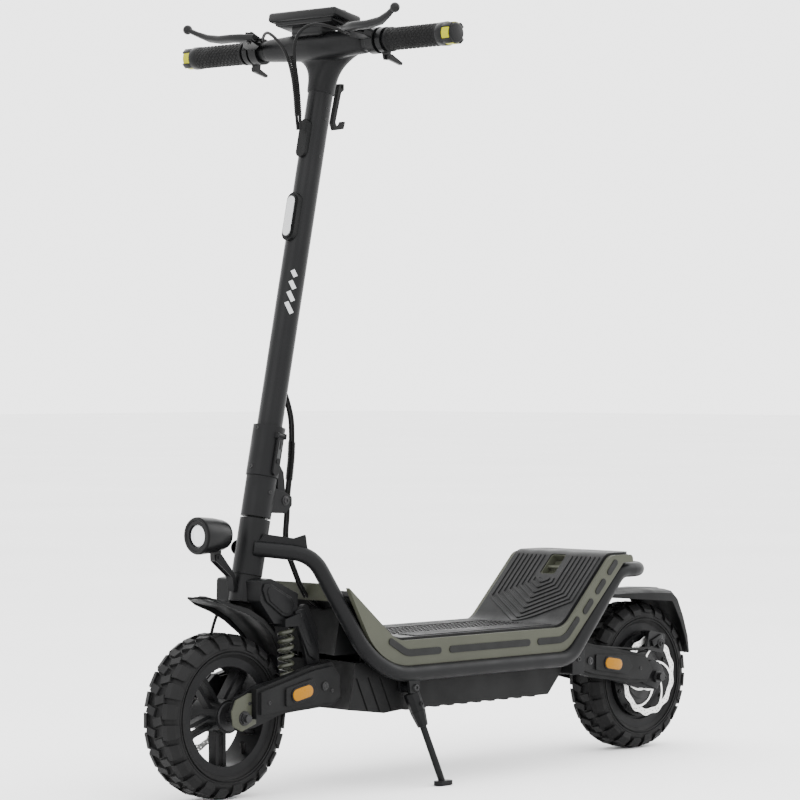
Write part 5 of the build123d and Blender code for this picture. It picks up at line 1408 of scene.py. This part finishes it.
# ---------------------------------------------------------------------------- studio
@dataclass
class Studio:
    """A pale floor, soft lights and the camera."""

    eye: Vector = field(default_factory=lambda: Vector((3.9254, 3.7220, 0.6513)))
    yaw: float = radians(45.887)
    dip: float = radians(0.4193)
    lens: float = 147.61
    sensor: float = 36.0
    sky_strength: float = 3.4
    target: Vector = field(default_factory=lambda: Vector((0.1, 0, 0.5)))

    def build(self) -> None:
        """Sets up the camera, the lights, the sky and the floor."""
        view = bpy.data.cameras.new("camera")
        view.lens = self.lens
        view.sensor_width = self.sensor
        view.clip_end = 200.0
        camera = bpy.data.objects.new("camera", view)
        camera.location = self.eye
        camera.rotation_euler = (pi / 2 - self.dip, 0.0, pi - self.yaw)
        bpy.context.scene.collection.objects.link(camera)
        bpy.context.scene.camera = camera
        for name, place, size, power in (("key", (1.2, 3.6, 3.2), 2.6, 60.0),
                                         ("front", (3.6, 0.6, 1.9), 2.2, 40.0),
                                         ("back", (-3.2, 1.6, 2.6), 2.4, 60.0),
                                         ("top", (0.0, 0.2, 3.6), 2.6, 40.0)):
            self.light(name, Vector(place), size, power)
        world = bpy.data.worlds.new("studio")
        world.use_nodes = True
        sky = world.node_tree.nodes["Background"]
        sky.inputs["Color"].default_value = (1.0, 1.0, 1.0, 1.0)
        sky.inputs["Strength"].default_value = self.sky_strength
        bpy.context.scene.world = world
        self.floor()

    def light(self, name: str, place: Vector, size: float, power: float) -> None:
        """Adds one large soft light that faces the scooter."""
        lamp = bpy.data.lights.new(name, "AREA")
        lamp.size = size
        lamp.energy = power
        holder = bpy.data.objects.new(name, lamp)
        holder.location = place
        holder.rotation_euler = (self.target - place).to_track_quat("-Z", "Y").to_euler()
        bpy.context.scene.collection.objects.link(holder)

    def floor(self) -> None:
        """Adds the plain pale floor."""
        work = bmesh.new()
        bmesh.ops.create_grid(work, x_segments=2, y_segments=2, size=40.0)
        mesh = bpy.data.meshes.new("floor")
        work.to_mesh(mesh)
        work.free()
        material = bpy.data.materials.new("pale_floor")
        bench = NodeBench(material)
        tone = bench.spread(bench.noise(0.8, 2.0), 0.3, 0.7, (0.0, 1.0))
        bench.join(bench.blend(tone, (0.86, 0.86, 0.86), (0.90, 0.90, 0.90)),
                   bench.shader.inputs["Base Color"])
        bench.shader.inputs["Roughness"].default_value = 0.9
        mesh.materials.append(material)
        ground = bpy.data.objects.new("floor", mesh)
        ground.location = (0, 0, -0.0006)
        bpy.context.scene.collection.objects.link(ground)


def dress_frame() -> None:
    """Gives every CAD piece its finish."""
    for finish, names in NODE_FINISH.items():
        material = finish.build()
        for name in names:
            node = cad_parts[name]
            for index in range(len(node.material_slots)):
                node.material_slots[index].material = material
            if not node.material_slots:
                node.data.materials.append(material)


def main() -> None:
    """Builds the scooter's looks, sub-assembly by sub-assembly."""
    logging.basicConfig(level=logging.INFO, format="%(name)s: %(message)s")
    shop = Workshop()
    line = SteeringLine()
    Studio().build()
    dress_frame()
    front, rear, bar = middle_of("front_tyre"), middle_of("rear_tyre"), middle_of("handlebar")
    Tyre("front_tyre_tread", "front_wheel", "front_tyre", front).build(shop)
    Tyre("rear_tyre_tread", "rear_wheel", "rear_tyre", rear).build(shop)
    Coils("front_coils", "front_springs", "fork", "front_suspension", (-0.3714, 0.0, 0.9285), keep=0.904,
          x=0.386, y=0.043, radius=0.0102, wire=0.0034, turns=5.5).build(shop)
    Coils("rear_coils", "rear_springs", "body", "rear_suspension", (0.0, 0.0, 1.0), keep=0.9585,
          x=-0.326, y=0.026, radius=0.0100, wire=0.0032, turns=7.5).build(shop)
    WheelTrim(front, rear).build(shop)
    Handlebar(bar.x, bar.z).build(shop)
    Stem(line, bar.x).build(shop)
    Chassis(line).build(shop)
    Lamp(Vector((0.474, 0, 0.406))).build(shop)
    Rotor("front_disc", "front_rotor", "front_wheel", front, y=-0.047, radius=0.060, inner=0.0485, hub=0.024,
          finish=Paint.STEEL, waves=11).build(shop)
    Rotor("rear_disc", "rear_rotor", "rear_wheel", rear, y=0.047, radius=0.070, inner=0.0575, hub=0.026,
          finish=Paint.STEEL, waves=13).build(shop)
    Fender("front_guard", "front_fender", "fork",
           line=[(0.522, 0.312), (0.500, 0.3055), (0.462, 0.2965), (0.430, 0.279), (0.402, 0.254),
                 (0.376, 0.216)],
           widths=[0.034, 0.040, 0.044, 0.044, 0.040, 0.030],
           skirts=[0.004, 0.009, 0.013, 0.012, 0.010, 0.006]).build(shop)
    Fender("rear_guard", "rear_fender", "rear_arm",
           line=[(-0.378, 0.273), (-0.432, 0.279), (-0.500, 0.2795), (-0.556, 0.2765), (-0.574, 0.262),
                 (-0.592, 0.229), (-0.608, 0.192), (-0.620, 0.162)],
           widths=[0.038, 0.046, 0.049, 0.049, 0.049, 0.046, 0.042, 0.034],
           skirts=[0.004, 0.014, 0.020, 0.022, 0.022, 0.017, 0.012, 0.006]).build(shop)
    DeckMat().build(shop)
    BarShell(line, bar.x, bar.z).build(shop)
    SideMarkers().build(shop)
    LOG.info("made %d pieces", len(shop.made))


if __name__ == "__main__":
    main()
